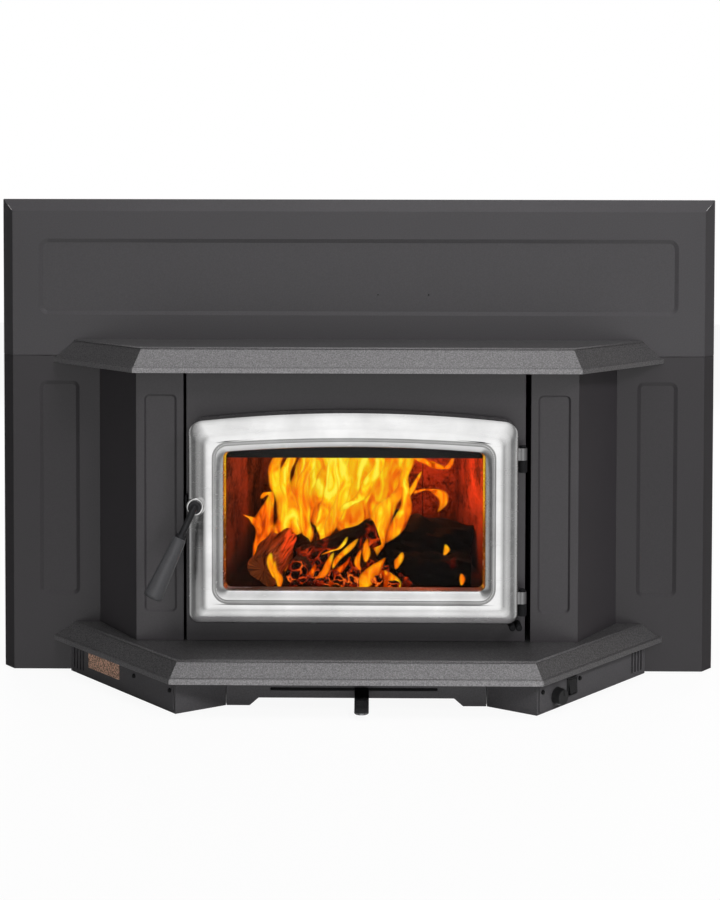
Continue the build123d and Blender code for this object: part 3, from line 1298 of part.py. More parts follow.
with BuildPart() as glass_clips:
    with Locations(*clip_spots(door_back - CLIP_SHEET / 2, CLIP_FOOT / 2 - CLIP_SHEET)):
        Box(CLIP_WIDTH, CLIP_SHEET, CLIP_FOOT + 2 * CLIP_SHEET)
    leg = glass_back - door_back
    with Locations(*clip_spots(door_back + leg / 2, -1.5 * CLIP_SHEET)):
        Box(CLIP_WIDTH, leg, CLIP_SHEET)
    with Locations(*clip_spots(door_back, CLIP_SCREW_OUT)):
        Cylinder(CLIP_SCREW_SHANK / 2 + PRESS_FIT, 4 * CLIP_SHEET, rotation=(90, 0, 0),
                 mode=Mode.SUBTRACT)
glass_clips.part.label = "glass_clips"
export_step(glass_clips.part, "parts/glass_clips.step")

with BuildPart() as clip_screws:
    with Locations(*clip_spots(door_back - CLIP_SHEET - CLIP_SCREW_RISE / 2, CLIP_SCREW_OUT)):
        Cylinder(CLIP_SCREW_HEAD / 2, CLIP_SCREW_RISE, rotation=(90, 0, 0))
    with Locations(*clip_spots(door_back - CLIP_SHEET / 2, CLIP_SCREW_OUT)):
        Cylinder(CLIP_SCREW_SHANK / 2, CLIP_SHEET, rotation=(90, 0, 0))
clip_screws.part.label = "clip_screws"
export_step(clip_screws.part, "parts/clip_screws.step")

# ---------------------------------------------------------------- hinges and door rest
with BuildPart() as hinge_brackets:
    for lift in LUG_LIFTS:
        with BuildSketch(Plane.XY.offset(door_bottom + lift - RUNNING - LUG_HEIGHT)):
            with Locations((hinge_x, -hinge_depth)):
                Circle(KNUCKLE_RADIUS)
            with Locations((hinge_x, -(FACE_DEPTH + hinge_depth) / 2)):
                Rectangle(HINGE_FOOT, hinge_depth - FACE_DEPTH)
            with Locations((hinge_x, -hinge_depth)):
                Circle(PIN_RADIUS + PRESS_FIT, mode=Mode.SUBTRACT)
        extrude(amount=LUG_HEIGHT)
hinge_brackets.part.label = "hinge_brackets"
export_step(hinge_brackets.part, "parts/hinge_brackets.step")

with BuildPart() as hinge_pins:
    for lift in LUG_LIFTS:
        with BuildSketch(Plane.XY.offset(door_bottom + lift - RUNNING - LUG_HEIGHT)):
            with Locations((hinge_x, -hinge_depth)):
                Circle(PIN_RADIUS)
        extrude(amount=2 * LUG_HEIGHT + 2 * RUNNING)
        with BuildSketch(Plane.XY.offset(door_bottom + lift + LUG_HEIGHT + RUNNING)):
            with Locations((hinge_x, -hinge_depth)):
                Circle(PIN_HEAD_RADIUS)
        extrude(amount=PIN_HEAD)
hinge_pins.part.label = "hinge_pins"
export_step(hinge_pins.part, "parts/hinge_pins.step")

# Two round rests under the hinge corner take the door's weight while it is hung.
with BuildPart() as door_rests:
    with BuildSketch(facing(FACE_DEPTH)):
        with Locations(*[(door_right + REST_OUT - step * REST_PITCH, door_bottom - REST_DROP)
                         for step in (0, 1)]):
            Circle(REST_RADIUS)
    extrude(amount=REST_LENGTH)
    fillet(door_rests.edges().group_by(Axis.Y)[0], REST_EASE)
door_rests.part.label = "door_rests"
export_step(door_rests.part, "parts/door_rests.step")

# ---------------------------------------------------------------- handle and latch
with BuildPart() as handle_bush:
    with BuildSketch(facing(bush_seat)):
        with Locations((handle_x, handle_z)):
            Circle(BUSH_DIAMETER / 2)
            Circle(HANDLE_SHAFT / 2 + SHAFT_FIT, mode=Mode.SUBTRACT)
    extrude(amount=BUSH_LENGTH)
    fillet(handle_bush.edges().filter_by(GeomType.CIRCLE).group_by(Axis.Y)[0]
           .sort_by(SortBy.RADIUS)[-1], BUSH_EASE)
handle_bush.part.label = "handle_bush"
export_step(handle_bush.part, "parts/handle_bush.step")

hub_back = bush_seat + BUSH_LENGTH + RUNNING
rod_turn = Vector(handle_x, -hub_back - ROD_FORWARD, handle_z)
rod_way = Vector(ROD_LEFT, ROD_OUT, ROD_DOWN).normalized()
cam_front = door_back + CAM_POCKET - CAM_SINK
nut_back = cam_front - CAM_THICK - NUT_THICK
rod_end = rod_turn + rod_way * ROD_LENGTH
with BuildPart() as handle_rod:
    with BuildSketch(facing(nut_back)):
        with Locations((handle_x, handle_z)):
            Circle(HANDLE_SHAFT / 2)
    extrude(amount=hub_back - nut_back)
    with BuildSketch(facing(hub_back)):
        with Locations((handle_x, handle_z)):
            Circle(HUB_DIAMETER / 2)
    extrude(amount=HUB_LENGTH)
    fillet(handle_rod.edges().filter_by(GeomType.CIRCLE).group_by(Axis.Y)[0], HUB_EASE)
    with BuildLine() as bend:
        FilletPolyline(Vector(handle_x, -hub_back, handle_z), rod_turn, rod_end, radius=ROD_BEND)
    with BuildSketch(facing(hub_back)):
        with Locations((handle_x, handle_z)):
            Circle(HANDLE_SHAFT / 2)
    sweep(path=bend.wires()[0])
    with BuildSketch(Plane(origin=rod_end - rod_way * ROD_COLLAR, z_dir=rod_way)):
        Circle(ROD_COLLAR_RADIUS)
    extrude(amount=ROD_COLLAR)
handle_rod.part.label = "handle_rod"
export_step(handle_rod.part, "parts/handle_rod.step")

with BuildPart() as handle_grip:
    with BuildSketch(Plane(origin=rod_end, z_dir=rod_way)):
        Circle(GRIP_NECK_RADIUS)
    with BuildSketch(Plane(origin=rod_end + rod_way * GRIP_LENGTH, z_dir=rod_way)):
        Circle(GRIP_END_RADIUS)
    loft(ruled=True)
    along_grip = Axis(origin=rod_end, direction=rod_way)
    fillet(handle_grip.edges().filter_by(GeomType.CIRCLE).sort_by(along_grip)[-1], GRIP_END_EASE)
    fillet(handle_grip.edges().filter_by(GeomType.CIRCLE).sort_by(along_grip)[0], GRIP_NECK_EASE)
handle_grip.part.label = "handle_grip"
export_step(handle_grip.part, "parts/handle_grip.step")

with BuildPart() as latch_cam:
    with BuildSketch(facing(cam_front - CAM_THICK)):
        with Locations((handle_x - CAM_REACH / 2, handle_z)):
            Rectangle(CAM_REACH, CAM_WIDTH)
        with Locations((handle_x, handle_z)):
            Circle(CAM_WIDTH / 2 + CAM_RIM)
            Circle(HANDLE_SHAFT / 2 + PRESS_FIT, mode=Mode.SUBTRACT)
    extrude(amount=CAM_THICK)
latch_cam.part.label = "latch_cam"
export_step(latch_cam.part, "parts/latch_cam.step")

with BuildPart() as latch_nut:
    with BuildSketch(facing(nut_back)):
        with Locations((handle_x, handle_z)):
            RegularPolygon(NUT_ACROSS / 2, 6, major_radius=False)
            Circle(HANDLE_SHAFT / 2 + PRESS_FIT, mode=Mode.SUBTRACT)
    extrude(amount=NUT_THICK)
latch_nut.part.label = "latch_nut"
export_step(latch_nut.part, "parts/latch_nut.step")

# The catch stands on the left edge of the front plate, just outside the cam's tip.
with BuildPart() as latch_catch:
    with BuildSketch(facing(FACE_DEPTH)):
        with Locations((-FRONT_PLATE_LEFT + CATCH_SHEET / 2, handle_z)):
            Rectangle(CATCH_SHEET, CATCH_HEIGHT)
    extrude(amount=CATCH_DEPTH)
    with BuildSketch(facing(FACE_DEPTH)):
        with Locations((-FRONT_PLATE_LEFT + 1.5 * CATCH_SHEET, handle_z)):
            Rectangle(3 * CATCH_SHEET, CATCH_HEIGHT)
    extrude(amount=nut_back - FACE_DEPTH - RUNNING)
latch_catch.part.label = "latch_catch"
export_step(latch_catch.part, "parts/latch_catch.step")
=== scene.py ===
import bpy
import math
import random
from mathutils import Matrix, Vector, noise


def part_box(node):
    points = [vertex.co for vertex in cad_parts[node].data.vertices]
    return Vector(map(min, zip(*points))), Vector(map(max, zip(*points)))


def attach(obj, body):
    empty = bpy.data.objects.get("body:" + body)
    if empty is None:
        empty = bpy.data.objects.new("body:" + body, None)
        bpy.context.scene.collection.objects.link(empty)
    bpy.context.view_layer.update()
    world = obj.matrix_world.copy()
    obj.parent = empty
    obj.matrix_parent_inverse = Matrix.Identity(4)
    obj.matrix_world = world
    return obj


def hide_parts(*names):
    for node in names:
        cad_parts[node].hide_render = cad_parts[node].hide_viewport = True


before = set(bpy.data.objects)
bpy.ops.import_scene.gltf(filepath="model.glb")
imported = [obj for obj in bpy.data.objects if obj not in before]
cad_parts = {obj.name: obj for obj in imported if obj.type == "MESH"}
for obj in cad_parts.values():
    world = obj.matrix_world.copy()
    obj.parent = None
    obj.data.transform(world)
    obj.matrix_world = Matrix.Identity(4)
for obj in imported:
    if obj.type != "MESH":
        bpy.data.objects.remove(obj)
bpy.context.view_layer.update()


# ------------------------------------------------------------------ camera
# The view is from in front of the middle, at the height of the top panel,
# looking slightly down. The picture is 720 wide and 900 high.
CAMERA_PLACE = (0.0218, -2.1932, 0.7201)
CAMERA_DOWN = math.radians(1.576)
CAMERA_LEFT = math.radians(0.498)
CAMERA_ROLL = math.radians(0.121)
CAMERA_SENSOR = 36.0
CAMERA_LENS = 56.31
CAMERA_SHIFT = -0.22


def add_object(name, data):
    """Adds an object with its data to the scene."""
    made = bpy.data.objects.new(name, data)
    bpy.context.scene.collection.objects.link(made)
    return made


camera_data = bpy.data.cameras.new("camera")
camera_data.sensor_width = CAMERA_SENSOR
camera_data.lens = CAMERA_LENS
camera_data.shift_y = CAMERA_SHIFT
camera = add_object("camera", camera_data)
camera.matrix_world = (
    Matrix.Translation(CAMERA_PLACE)
    @ Matrix.Rotation(CAMERA_LEFT, 4, "Z")
    @ Matrix.Rotation(math.pi / 2 - CAMERA_DOWN, 4, "X")
    @ Matrix.Rotation(CAMERA_ROLL, 4, "Z")
)
bpy.context.scene.camera = camera
bpy.context.scene.view_settings.view_transform = "Standard"


# ------------------------------------------------------------------ floor
# A plain white floor that keeps a faint shadow. The camera and the glass see
# it nearly as bright as the white background.
FLOOR_SIZE = 14.0
FLOOR_DROP = 0.0005
FLOOR_COLOUR = (0.86, 0.86, 0.86, 1.0)
FLOOR_SHARE = 0.93


def set_inputs(tree, made, inputs):
    """Sets a node's inputs, each to a value or to another node's output."""
    for key, value in inputs.items():
        if isinstance(value, bpy.types.NodeSocket):
            tree.links.new(value, made.inputs[key])
        else:
            made.inputs[key].default_value = value


def add_node(tree, kind, inputs=None, **settings):
    """Adds a shader node with its settings and inputs."""
    made = tree.nodes.new("ShaderNode" + kind)
    for name, value in settings.items():
        setattr(made, name, value)
    set_inputs(tree, made, inputs or {})
    return made


def maths(tree, operation, *inputs):
    """The result of a maths node."""
    return add_node(tree, "Math", dict(enumerate(inputs)), operation=operation).outputs[0]


bpy.ops.mesh.primitive_plane_add(size=FLOOR_SIZE, location=(0, 0, -FLOOR_DROP))
floor = bpy.context.object
floor.name = "floor"
floor.visible_glossy = False
floor_paint = bpy.data.materials.new("floor_paint")
floor_paint.use_nodes = True
floor_tree = floor_paint.node_tree
floor_tree.nodes.clear()
floor_path = add_node(floor_tree, "LightPath").outputs
floor_seen = maths(floor_tree, "MAXIMUM", floor_path["Is Camera Ray"],
                   floor_path["Is Transmission Ray"])
floor_mix = add_node(floor_tree, "MixShader", {
    "Fac": maths(floor_tree, "MULTIPLY", floor_seen, FLOOR_SHARE),
    1: add_node(floor_tree, "BsdfDiffuse", {"Color": FLOOR_COLOUR}).outputs[0],
    2: add_node(floor_tree, "Emission").outputs[0],
})
add_node(floor_tree, "OutputMaterial", {"Surface": floor_mix.outputs[0]})
floor.data.materials.append(floor_paint)


# ------------------------------------------------------------------ studio light
# White all round for the eye. Gloss sees a soft studio, given as (angle round
# or up in degrees, level): bright in front, a dark gap each side, softer behind.
FILL = 0.05
STUDIO_ROUND = (
    (-180, 0.80), (-166, 0.80), (-150, 0.10), (-140, 0.06), (-112, 0.03), (-95, 0.03),
    (-85, 0.36), (-67, 0.36), (-61, 0.08), (-44, 0.08), (-38, 0.27), (-28, 0.29), (-20, 0.54),
    (-12, 0.92), (-5, 1.0), (10, 1.0), (18, 0.88), (25, 0.64), (34, 0.52), (39, 0.24),
    (45, 0.14), (57, 0.16), (64, 0.46), (84, 0.42), (92, 0.20), (105, 0.16), (125, 0.10),
    (150, 0.14), (168, 0.80), (180, 0.80),
)
STUDIO_UP = (
    (-90, 0.40), (-75, 0.64), (-60, 0.74), (-42, 0.86), (-26, 1.0), (18, 1.0), (28, 0.92),
    (42, 0.72), (55, 0.84), (68, 1.32), (78, 1.70), (90, 1.60),
)
STUDIO_WARM_TURN = 105
STUDIO_WARMTH = 0.07
STUDIO_LEVEL = 1.15
STUDIO_WHITE = (1.0, 1.0, 1.0, 1.0)
# Each lamp has its name, place, aim, width, height and power, and whether gloss sees it.
LAMPS = (
    ("key_lamp", (2.1, -2.6, 2.4), (0.05, 0.0, 0.45), 0.7, 0.7, 62.0, False),
    ("top_lamp", (0.1, -0.75, 2.7), (0.0, -0.35, 0.3), 2.4, 1.3, 42.0, False),
    ("rear_lamp_left", (-1.7, 2.6, 1.5), (0.0, 0.3, 0.3), 1.0, 1.0, 40.0, True),
    ("rear_lamp_right", (1.7, 2.6, 1.5), (0.0, 0.3, 0.3), 1.0, 1.0, 40.0, True),
)


def ranged(tree, value, from_min=0.0, from_max=1.0, to_min=0.0, to_max=1.0):
    """A value carried from one range to another and held at its ends."""
    return add_node(tree, "MapRange", {
        "Value": value, "From Min": from_min, "From Max": from_max, "To Min": to_min,
        "To Max": to_max,
    }).outputs[0]


def ramp(tree, factor, stops):
    """A colour ramp through stops, each a place from 0 to 1 and a colour."""
    made = add_node(tree, "ValToRGB", {"Fac": factor})
    elements = made.color_ramp.elements
    elements[0].position, elements[1].position = stops[0][0], stops[-1][0]
    for place, colour in stops[1:-1]:
        elements.new(place)
    for element, (place, colour) in zip(elements, stops):
        element.color = (*colour, 1)
    return made.outputs["Color"]


world = bpy.data.worlds.new("studio")
bpy.context.scene.world = world
world.use_nodes = True
sky = world.node_tree
sky.nodes.clear()
sky_path = add_node(sky, "LightPath").outputs
sky_axes = add_node(sky, "SeparateXYZ", {
    0: add_node(sky, "TexCoord").outputs["Generated"],
}).outputs
sky_ahead = maths(sky, "MULTIPLY", sky_axes["Y"], -1.0)
sky_turn = ranged(sky, maths(sky, "ARCTAN2", sky_axes["X"], sky_ahead), -math.pi, math.pi)
sky_lift = ranged(sky, maths(sky, "ARCSINE", sky_axes["Z"]), -math.pi / 2, math.pi / 2)
round_stops = []
for turn, level in STUDIO_ROUND:
    warm = STUDIO_WARMTH if turn == STUDIO_WARM_TURN else 0.0
    round_stops.append(((turn + 180) / 360, (level, level * (1 - warm), level * (1 - 2 * warm))))
up_stops = [((lift + 90) / 180, (level, level, level)) for lift, level in STUDIO_UP]
sky_both = add_node(sky, "Mix", {
    "Factor": 1.0, "A": ramp(sky, sky_turn, round_stops), "B": ramp(sky, sky_lift, up_stops),
}, data_type="RGBA", blend_type="MULTIPLY")
sky_gloss = add_node(sky, "Background", {
    "Color": sky_both.outputs["Result"], "Strength": STUDIO_LEVEL,
})
sky_fill = add_node(sky, "Background", {"Color": STUDIO_WHITE, "Strength": FILL})
sky_white = add_node(sky, "Background", {"Color": STUDIO_WHITE})
sky_seen = maths(sky, "MAXIMUM", sky_path["Is Camera Ray"], sky_path["Is Transmission Ray"])
sky_first = add_node(sky, "MixShader", {
    "Fac": sky_path["Is Glossy Ray"], 1: sky_fill.outputs[0], 2: sky_gloss.outputs[0],
})
sky_second = add_node(sky, "MixShader", {
    "Fac": sky_seen, 1: sky_first.outputs[0], 2: sky_white.outputs[0],
})
add_node(sky, "OutputWorld", {"Surface": sky_second.outputs[0]})
for name, place, aim, width, height, power, in_gloss in LAMPS:
    data = bpy.data.lights.new(name, "AREA")
    data.shape = "RECTANGLE"
    data.size = width
    data.size_y = height
    data.energy = power
    lamp = add_object(name, data)
    lamp.location = place
    lamp.rotation_euler = (Vector(aim) - Vector(place)).to_track_quat("-Z", "Y").to_euler()
    lamp.visible_glossy = in_gloss


# ------------------------------------------------------------------ surround
# Three folded sheet-steel panels with a bevelled rim and a shallow pressed
# field, in a satin stove paint with a very fine metallic grain. The top panel's
# paint is a lighter, shinier copy of it: painted light from above.
PANEL_COLOUR = (0.031, 0.028, 0.031)
# The top panel's colour is made lighter by painted light from above.
TOP_LIT_COLOUR = (0.047, 0.044, 0.048)
PANEL_EDGE = 0.0008
PANEL_TURN = 20
# The side panels' rims reach up by a short tongue, which closes the seams under the top panel.
RIM_INSIDE = 0.5395
RIM_TONGUE = 0.0016


def new_finish(name):
    """A new material, with its node tree, its shader and the place on the object."""
    finish = bpy.data.materials.new(name)
    finish.use_nodes = True
    tree = finish.node_tree
    return finish, tree, tree.nodes["Principled BSDF"], add_node(tree, "TexCoord").outputs["Object"]


def speckle(tree, place, scale, detail=2.0, roughness=0.5, distortion=0.0):
    """The outputs of a noise texture at a place."""
    return add_node(tree, "TexNoise", {
        "Vector": place, "Scale": scale, "Detail": detail, "Roughness": roughness,
        "Distortion": distortion,
    }).outputs


def scaled(tree, colour, level):
    """A colour made lighter or darker by a level."""
    return add_node(tree, "VectorMath", {0: colour, "Scale": level}, operation="SCALE").outputs[0]


def bumped(tree, height, strength, distance):
    """A surface roughened by a height."""
    return add_node(tree, "Bump", {
        "Height": height, "Strength": strength, "Distance": distance,
    }).outputs[0]


def stove_paint(name, colour, grain, roughness, metal, pits=0.2, shine=0.30):
    """Baked stove paint: fine metallic flakes, slight cloudiness and orange peel."""
    paint, tree, shader, place = new_finish(name)
    flakes = speckle(tree, place, scale=520.0, detail=3.0, roughness=0.7)["Fac"]
    clouds = speckle(tree, place, scale=5.0, detail=3.0)["Fac"]
    peel = speckle(tree, place, scale=1300.0)["Fac"]
    tone = ramp(tree, flakes, (
        (0.36, [c * (1 - grain) for c in colour]), (0.66, [c * (1 + grain) for c in colour]),
    ))
    set_inputs(tree, shader, {
        "Base Color": scaled(tree, tone, ranged(tree, clouds, to_min=0.90, to_max=1.10)),
        "Metallic": metal,
        "Specular IOR Level": shine,
        "Roughness": ranged(tree, flakes, to_min=roughness - 0.06, to_max=roughness + 0.06),
        "Normal": bumped(tree, peel, strength=pits, distance=0.0004),
    })
    return paint


def finish_piece(piece, body, material):
    """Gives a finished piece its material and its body."""
    piece.data.materials.clear()
    piece.data.materials.append(material)
    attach(piece, body)
    return piece


def round_edges(piece, width, turn=30.0):
    """Rounds the active piece's edges by a small bevel where they turn sharply enough."""
    bevel = piece.modifiers.new("edge", "BEVEL")
    bevel.width = width
    bevel.segments = 2
    bevel.limit_method = "ANGLE"
    bevel.angle_limit = math.radians(turn)
    bpy.ops.object.modifier_apply(modifier="edge")


def softened(node, edge, turn=30.0, smooth=35.0):
    """A copy of a CAD node, its facets merged and its edges rounded by a small bevel."""
    bpy.ops.object.select_all(action="DESELECT")
    piece = add_object(node + "_finished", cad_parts[node].data.copy())
    bpy.context.view_layer.objects.active = piece
    piece.select_set(True)
    bpy.ops.mesh.customdata_custom_splitnormals_clear()
    bpy.ops.object.mode_set(mode="EDIT")
    bpy.ops.mesh.select_all(action="SELECT")
    bpy.ops.mesh.remove_doubles(threshold=0.000002)
    bpy.ops.mesh.dissolve_limited(angle_limit=math.radians(0.4))
    bpy.ops.object.mode_set(mode="OBJECT")
    if edge:
        round_edges(piece, edge, turn)
    bpy.ops.object.shade_smooth_by_angle(angle=math.radians(smooth))
    flat = piece.modifiers.new("flat", "WEIGHTED_NORMAL")
    flat.keep_sharp = True
    bpy.ops.object.modifier_apply(modifier="flat")
    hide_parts(node)
    return piece


panel_paint = stove_paint("panel_paint", PANEL_COLOUR, grain=0.16, roughness=0.44, metal=0.06,
                          shine=0.56)
# A lighter, shinier copy of the panel paint: painted light on the top panel.
top_lit_paint = stove_paint("top_lit_paint", TOP_LIT_COLOUR, grain=0.16, roughness=0.44, metal=0.06, shine=0.70)
top_panel = softened("surround_top", PANEL_EDGE, PANEL_TURN)
finish_piece(top_panel, "root", top_lit_paint)
for node in ("surround_left", "surround_right"):
    panel = softened(node, PANEL_EDGE, PANEL_TURN)
    seam_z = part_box(node)[1][2] - PANEL_EDGE * 1.5
    for vertex in panel.data.vertices:
        if abs(vertex.co.x) > RIM_INSIDE and vertex.co.z > seam_z:
            vertex.co.z += RIM_TONGUE
    finish_piece(panel, "root", panel_paint)


# ------------------------------------------------------------------ trim pins
# Two small black push-in pins fill the holes in the top panel's field, with
# their heads behind the sheet. The black pins are painted shade: dark plugs
# where the holes show only shade.
PIN_PLACE = (0.031, 0.0041, 0.5927)
PIN_APART = 0.079
PIN_RADIUS = 0.00114
PIN_LENGTH = 0.0022
PIN_HEAD_SPREAD = 2.1
PIN_HEAD_THICK = 0.0012
PIN_EDGE = 0.0002
PIN_SHADE_COLOUR = (0.012, 0.012, 0.012)


def joined(parts, name):
    """Joins parts into one piece with that name."""
    bpy.ops.object.select_all(action="DESELECT")
    for part in parts:
        part.select_set(True)
    bpy.context.view_layer.objects.active = parts[0]
    bpy.ops.object.join()
    piece = bpy.context.object
    piece.name = name
    piece.data.name = name
    return piece


bpy.ops.object.select_all(action="DESELECT")
bpy.ops.mesh.primitive_cylinder_add(vertices=24, radius=PIN_RADIUS, depth=PIN_LENGTH,
                                    location=PIN_PLACE, rotation=(math.pi / 2, 0, 0))
pin = bpy.context.object
bpy.ops.object.transform_apply(location=True, rotation=True, scale=True)
bpy.ops.object.mode_set(mode="EDIT")
bpy.ops.mesh.select_all(action="DESELECT")
bpy.ops.mesh.select_mode(type="FACE")
bpy.ops.object.mode_set(mode="OBJECT")
for face in pin.data.polygons:
    face.select = face.normal.y > 0.9
bpy.ops.object.mode_set(mode="EDIT")
bpy.ops.mesh.extrude_region_move(TRANSFORM_OT_translate={"value": (0, 0, 0)})
bpy.ops.transform.resize(value=(PIN_HEAD_SPREAD, 1.0, PIN_HEAD_SPREAD))
bpy.ops.mesh.extrude_region_move(TRANSFORM_OT_translate={"value": (0, PIN_HEAD_THICK, 0)})
bpy.ops.object.mode_set(mode="OBJECT")
second_pin = add_object("second_pin", pin.data.copy())
second_pin.data.transform(Matrix.Translation((PIN_APART, 0, 0)))
trim_pins = joined([pin, second_pin], "trim_pins")
round_edges(trim_pins, PIN_EDGE)
bpy.ops.object.shade_smooth_by_angle(angle=math.radians(35))
# Painted shade: the pins' black stands for the shade in the holes.
pin_shade_black = stove_paint("pin_shade_black", PIN_SHADE_COLOUR, grain=0.1, roughness=0.5, metal=0.0)
finish_piece(trim_pins, "root", pin_shade_black)


# ------------------------------------------------------------------ joining hardware
# Zinc-plated straps, brackets, studs and nuts behind the surround, and the
# bolts of the flue collar. Dull grey with a faint cloudy tint.
ZINC_COLOUR = (0.52, 0.53, 0.53)
HARDWARE_EDGE = 0.0004
HARDWARE_TURN = 40


def bare_metal(name, colour, roughness, streak, scale, spots=0.0):
    """Plain metal with fine streaks along X and a cloudy tint, as rolled or plated."""
    metal, tree, shader, place = new_finish(name)
    stretch = add_node(tree, "Mapping", {"Vector": place, "Scale": (streak, 1.0, 1.0)})
    lines = speckle(tree, stretch.outputs[0], scale=scale, detail=4.0)["Fac"]
    clouds = speckle(tree, place, scale=14.0, detail=4.0)["Fac"]
    set_inputs(tree, shader, {
        "Base Color": ramp(tree, clouds, (
            (0.30, [c * (0.86 - spots) for c in colour]),
            (0.72, [min(1.0, c * 1.10) for c in colour]),
        )),
        "Metallic": 1.0,
        "Roughness": ranged(tree, lines, to_min=roughness - 0.08, to_max=roughness + 0.10),
        "Normal": bumped(tree, lines, strength=0.12, distance=0.0002),
    })
    return metal


def coat(material, *nodes):
    """Puts a material on CAD nodes whose shape is shown as it is."""
    for name in nodes:
        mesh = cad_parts[name].data
        mesh.materials.clear()
        mesh.materials.append(material)


zinc = bare_metal("zinc", ZINC_COLOUR, roughness=0.42, streak=1.0, scale=260.0)
for node in ("surround_joiners", "surround_brackets", "surround_studs", "collar_bolts"):
    finish_piece(softened(node, HARDWARE_EDGE, HARDWARE_TURN), "root", zinc)


# ------------------------------------------------------------------ casing and pan
# The outer casing and floor pan are folded from aluminised sheet, dull silver
# with the cloudy, slightly mottled face of that sheet.
CASING_COLOUR = (0.44, 0.45, 0.46)
CASING_EDGE = 0.0006
casing_metal = bare_metal("casing_metal", CASING_COLOUR, roughness=0.46, streak=0.25, scale=180.0,
                          spots=0.10)
for node in ("convection_casing", "base_pan"):
    finish_piece(softened(node, CASING_EDGE), "root", casing_metal)


# ------------------------------------------------------------------ firebox
# Welded plate box with its collar, rails, air duct, hinge and latch brackets,
# all in matt high-temperature black.
BLACK_COLOUR = (0.012, 0.012, 0.013)
BLACK_EDGE = 0.0006
BLACK_TURN = 40
matt_black = stove_paint("matt_black", BLACK_COLOUR, grain=0.20, roughness=0.62, metal=0.0,
                         pits=0.3, shine=0.18)
for node in (
    "firebox_body", "flue_collar", "support_rails", "air_duct", "brick_retainers",
    "airwash_bar", "air_guide", "hinge_brackets", "hinge_pins", "door_rests", "latch_catch",
):
    finish_piece(softened(node, BLACK_EDGE, BLACK_TURN), "root", matt_black)


# ------------------------------------------------------------------ bricks and baffle
# Firebricks, chipped at the edges, darker towards the floor. Their deep
# orange-red is painted firelight.
# The baffle over them is a heat-tinted stainless plate.
# The pale brick colour is painted firelight: the orange-red of the fire's glow.
BRICK_FIRELIT = (0.50, 0.10, 0.040)
BRICK_DARK = (0.045, 0.012, 0.007)
BRICK_EDGE = 0.0014
# The bricks grow darker towards the floor between these heights, down to this level.
BRICK_FADE_LOW_Z = 0.12
BRICK_FADE_HIGH_Z = 0.29
BRICK_FADE_LEVEL = 0.12
BAFFLE_COLOUR = (0.20, 0.15, 0.13)
brick, brick_tree, brick_shader, brick_place = new_finish("firelit_brick")
brick_grain = speckle(brick_tree, brick_place, scale=190.0, detail=5.0, roughness=0.75)["Fac"]
brick_soot = speckle(brick_tree, brick_place, scale=17.0, detail=4.0)["Fac"]
brick_mix = maths(brick_tree, "MULTIPLY_ADD", brick_grain, 0.6,
                  maths(brick_tree, "MULTIPLY", brick_soot, 0.5))
brick_z = add_node(brick_tree, "SeparateXYZ", {0: brick_place}).outputs["Z"]
# Darker towards the floor.
brick_fade = ranged(brick_tree, brick_z, BRICK_FADE_LOW_Z, BRICK_FADE_HIGH_Z, to_min=BRICK_FADE_LEVEL)
brick_tone = ramp(brick_tree, brick_mix, ((0.46, BRICK_DARK), (0.62, BRICK_FIRELIT)))
set_inputs(brick_tree, brick_shader, {
    "Base Color": scaled(brick_tree, brick_tone, brick_fade),
    "Roughness": 0.9,
    "Specular IOR Level": 0.10,
    "Normal": bumped(brick_tree, brick_grain, strength=0.6, distance=0.001),
})
for node in ("firebrick_floor", "firebrick_left", "firebrick_right", "firebrick_back"):
    finish_piece(softened(node, BRICK_EDGE), "root", brick)
coat(bare_metal("tinted_steel", BAFFLE_COLOUR, roughness=0.5, streak=0.3, scale=120.0), "baffle")


# ------------------------------------------------------------------ shelf and ledge
# Two cast bay plates with a broad bevel and a stepped rim. Their paint is
# coarser and more metallic, so the bevels catch the light from above.
CAST_COLOUR = (0.305, 0.298, 0.305)
CAST_EDGE = 0.0012
cast_paint = stove_paint("cast_paint", CAST_COLOUR, grain=0.34, roughness=0.42, metal=0.90,
                         pits=0.45)
for node in ("top_shelf", "ash_ledge"):
    finish_piece(softened(node, CAST_EDGE), "root", cast_paint)


# ------------------------------------------------------------------ pillars and front plate
# The angled front pillars are folded sheet with a pressed field; the flat
# plate between them frames the doorway.
BODY_COLOUR = (0.036, 0.032, 0.036)
BODY_EDGE = 0.0010
BODY_TURN = 20
body_paint = stove_paint("body_paint", BODY_COLOUR, grain=0.16, roughness=0.44, metal=0.06,
                         shine=0.78)
for node in ("pillar_left", "pillar_right", "front_plate"):
    finish_piece(softened(node, BODY_EDGE, BODY_TURN), "root", body_paint)


# ------------------------------------------------------------------ boxes under the ledge
# Slanting sheet boxes that hold the blowers, the panel between them with the
# air slot, their cover plates and black screws.
BOX_COLOUR = (0.110, 0.106, 0.112)
BOX_EDGE = 0.0004
BOX_TURN = 40
SCREW_COLOUR = (0.02, 0.02, 0.021)
SCREW_EDGE = 0.0003
box_paint = stove_paint("box_paint", BOX_COLOUR, grain=0.14, roughness=0.46, metal=0.12)
for node in (
    "blower_box_left", "blower_box_right", "centre_panel", "access_cover", "control_plate",
):
    finish_piece(softened(node, BOX_EDGE, BOX_TURN), "root", box_paint)
screws = softened("cover_screws", SCREW_EDGE, BOX_TURN)
screw_black = stove_paint("screw_black", SCREW_COLOUR, grain=0.1, roughness=0.38, metal=0.6)
finish_piece(screws, "root", screw_black)


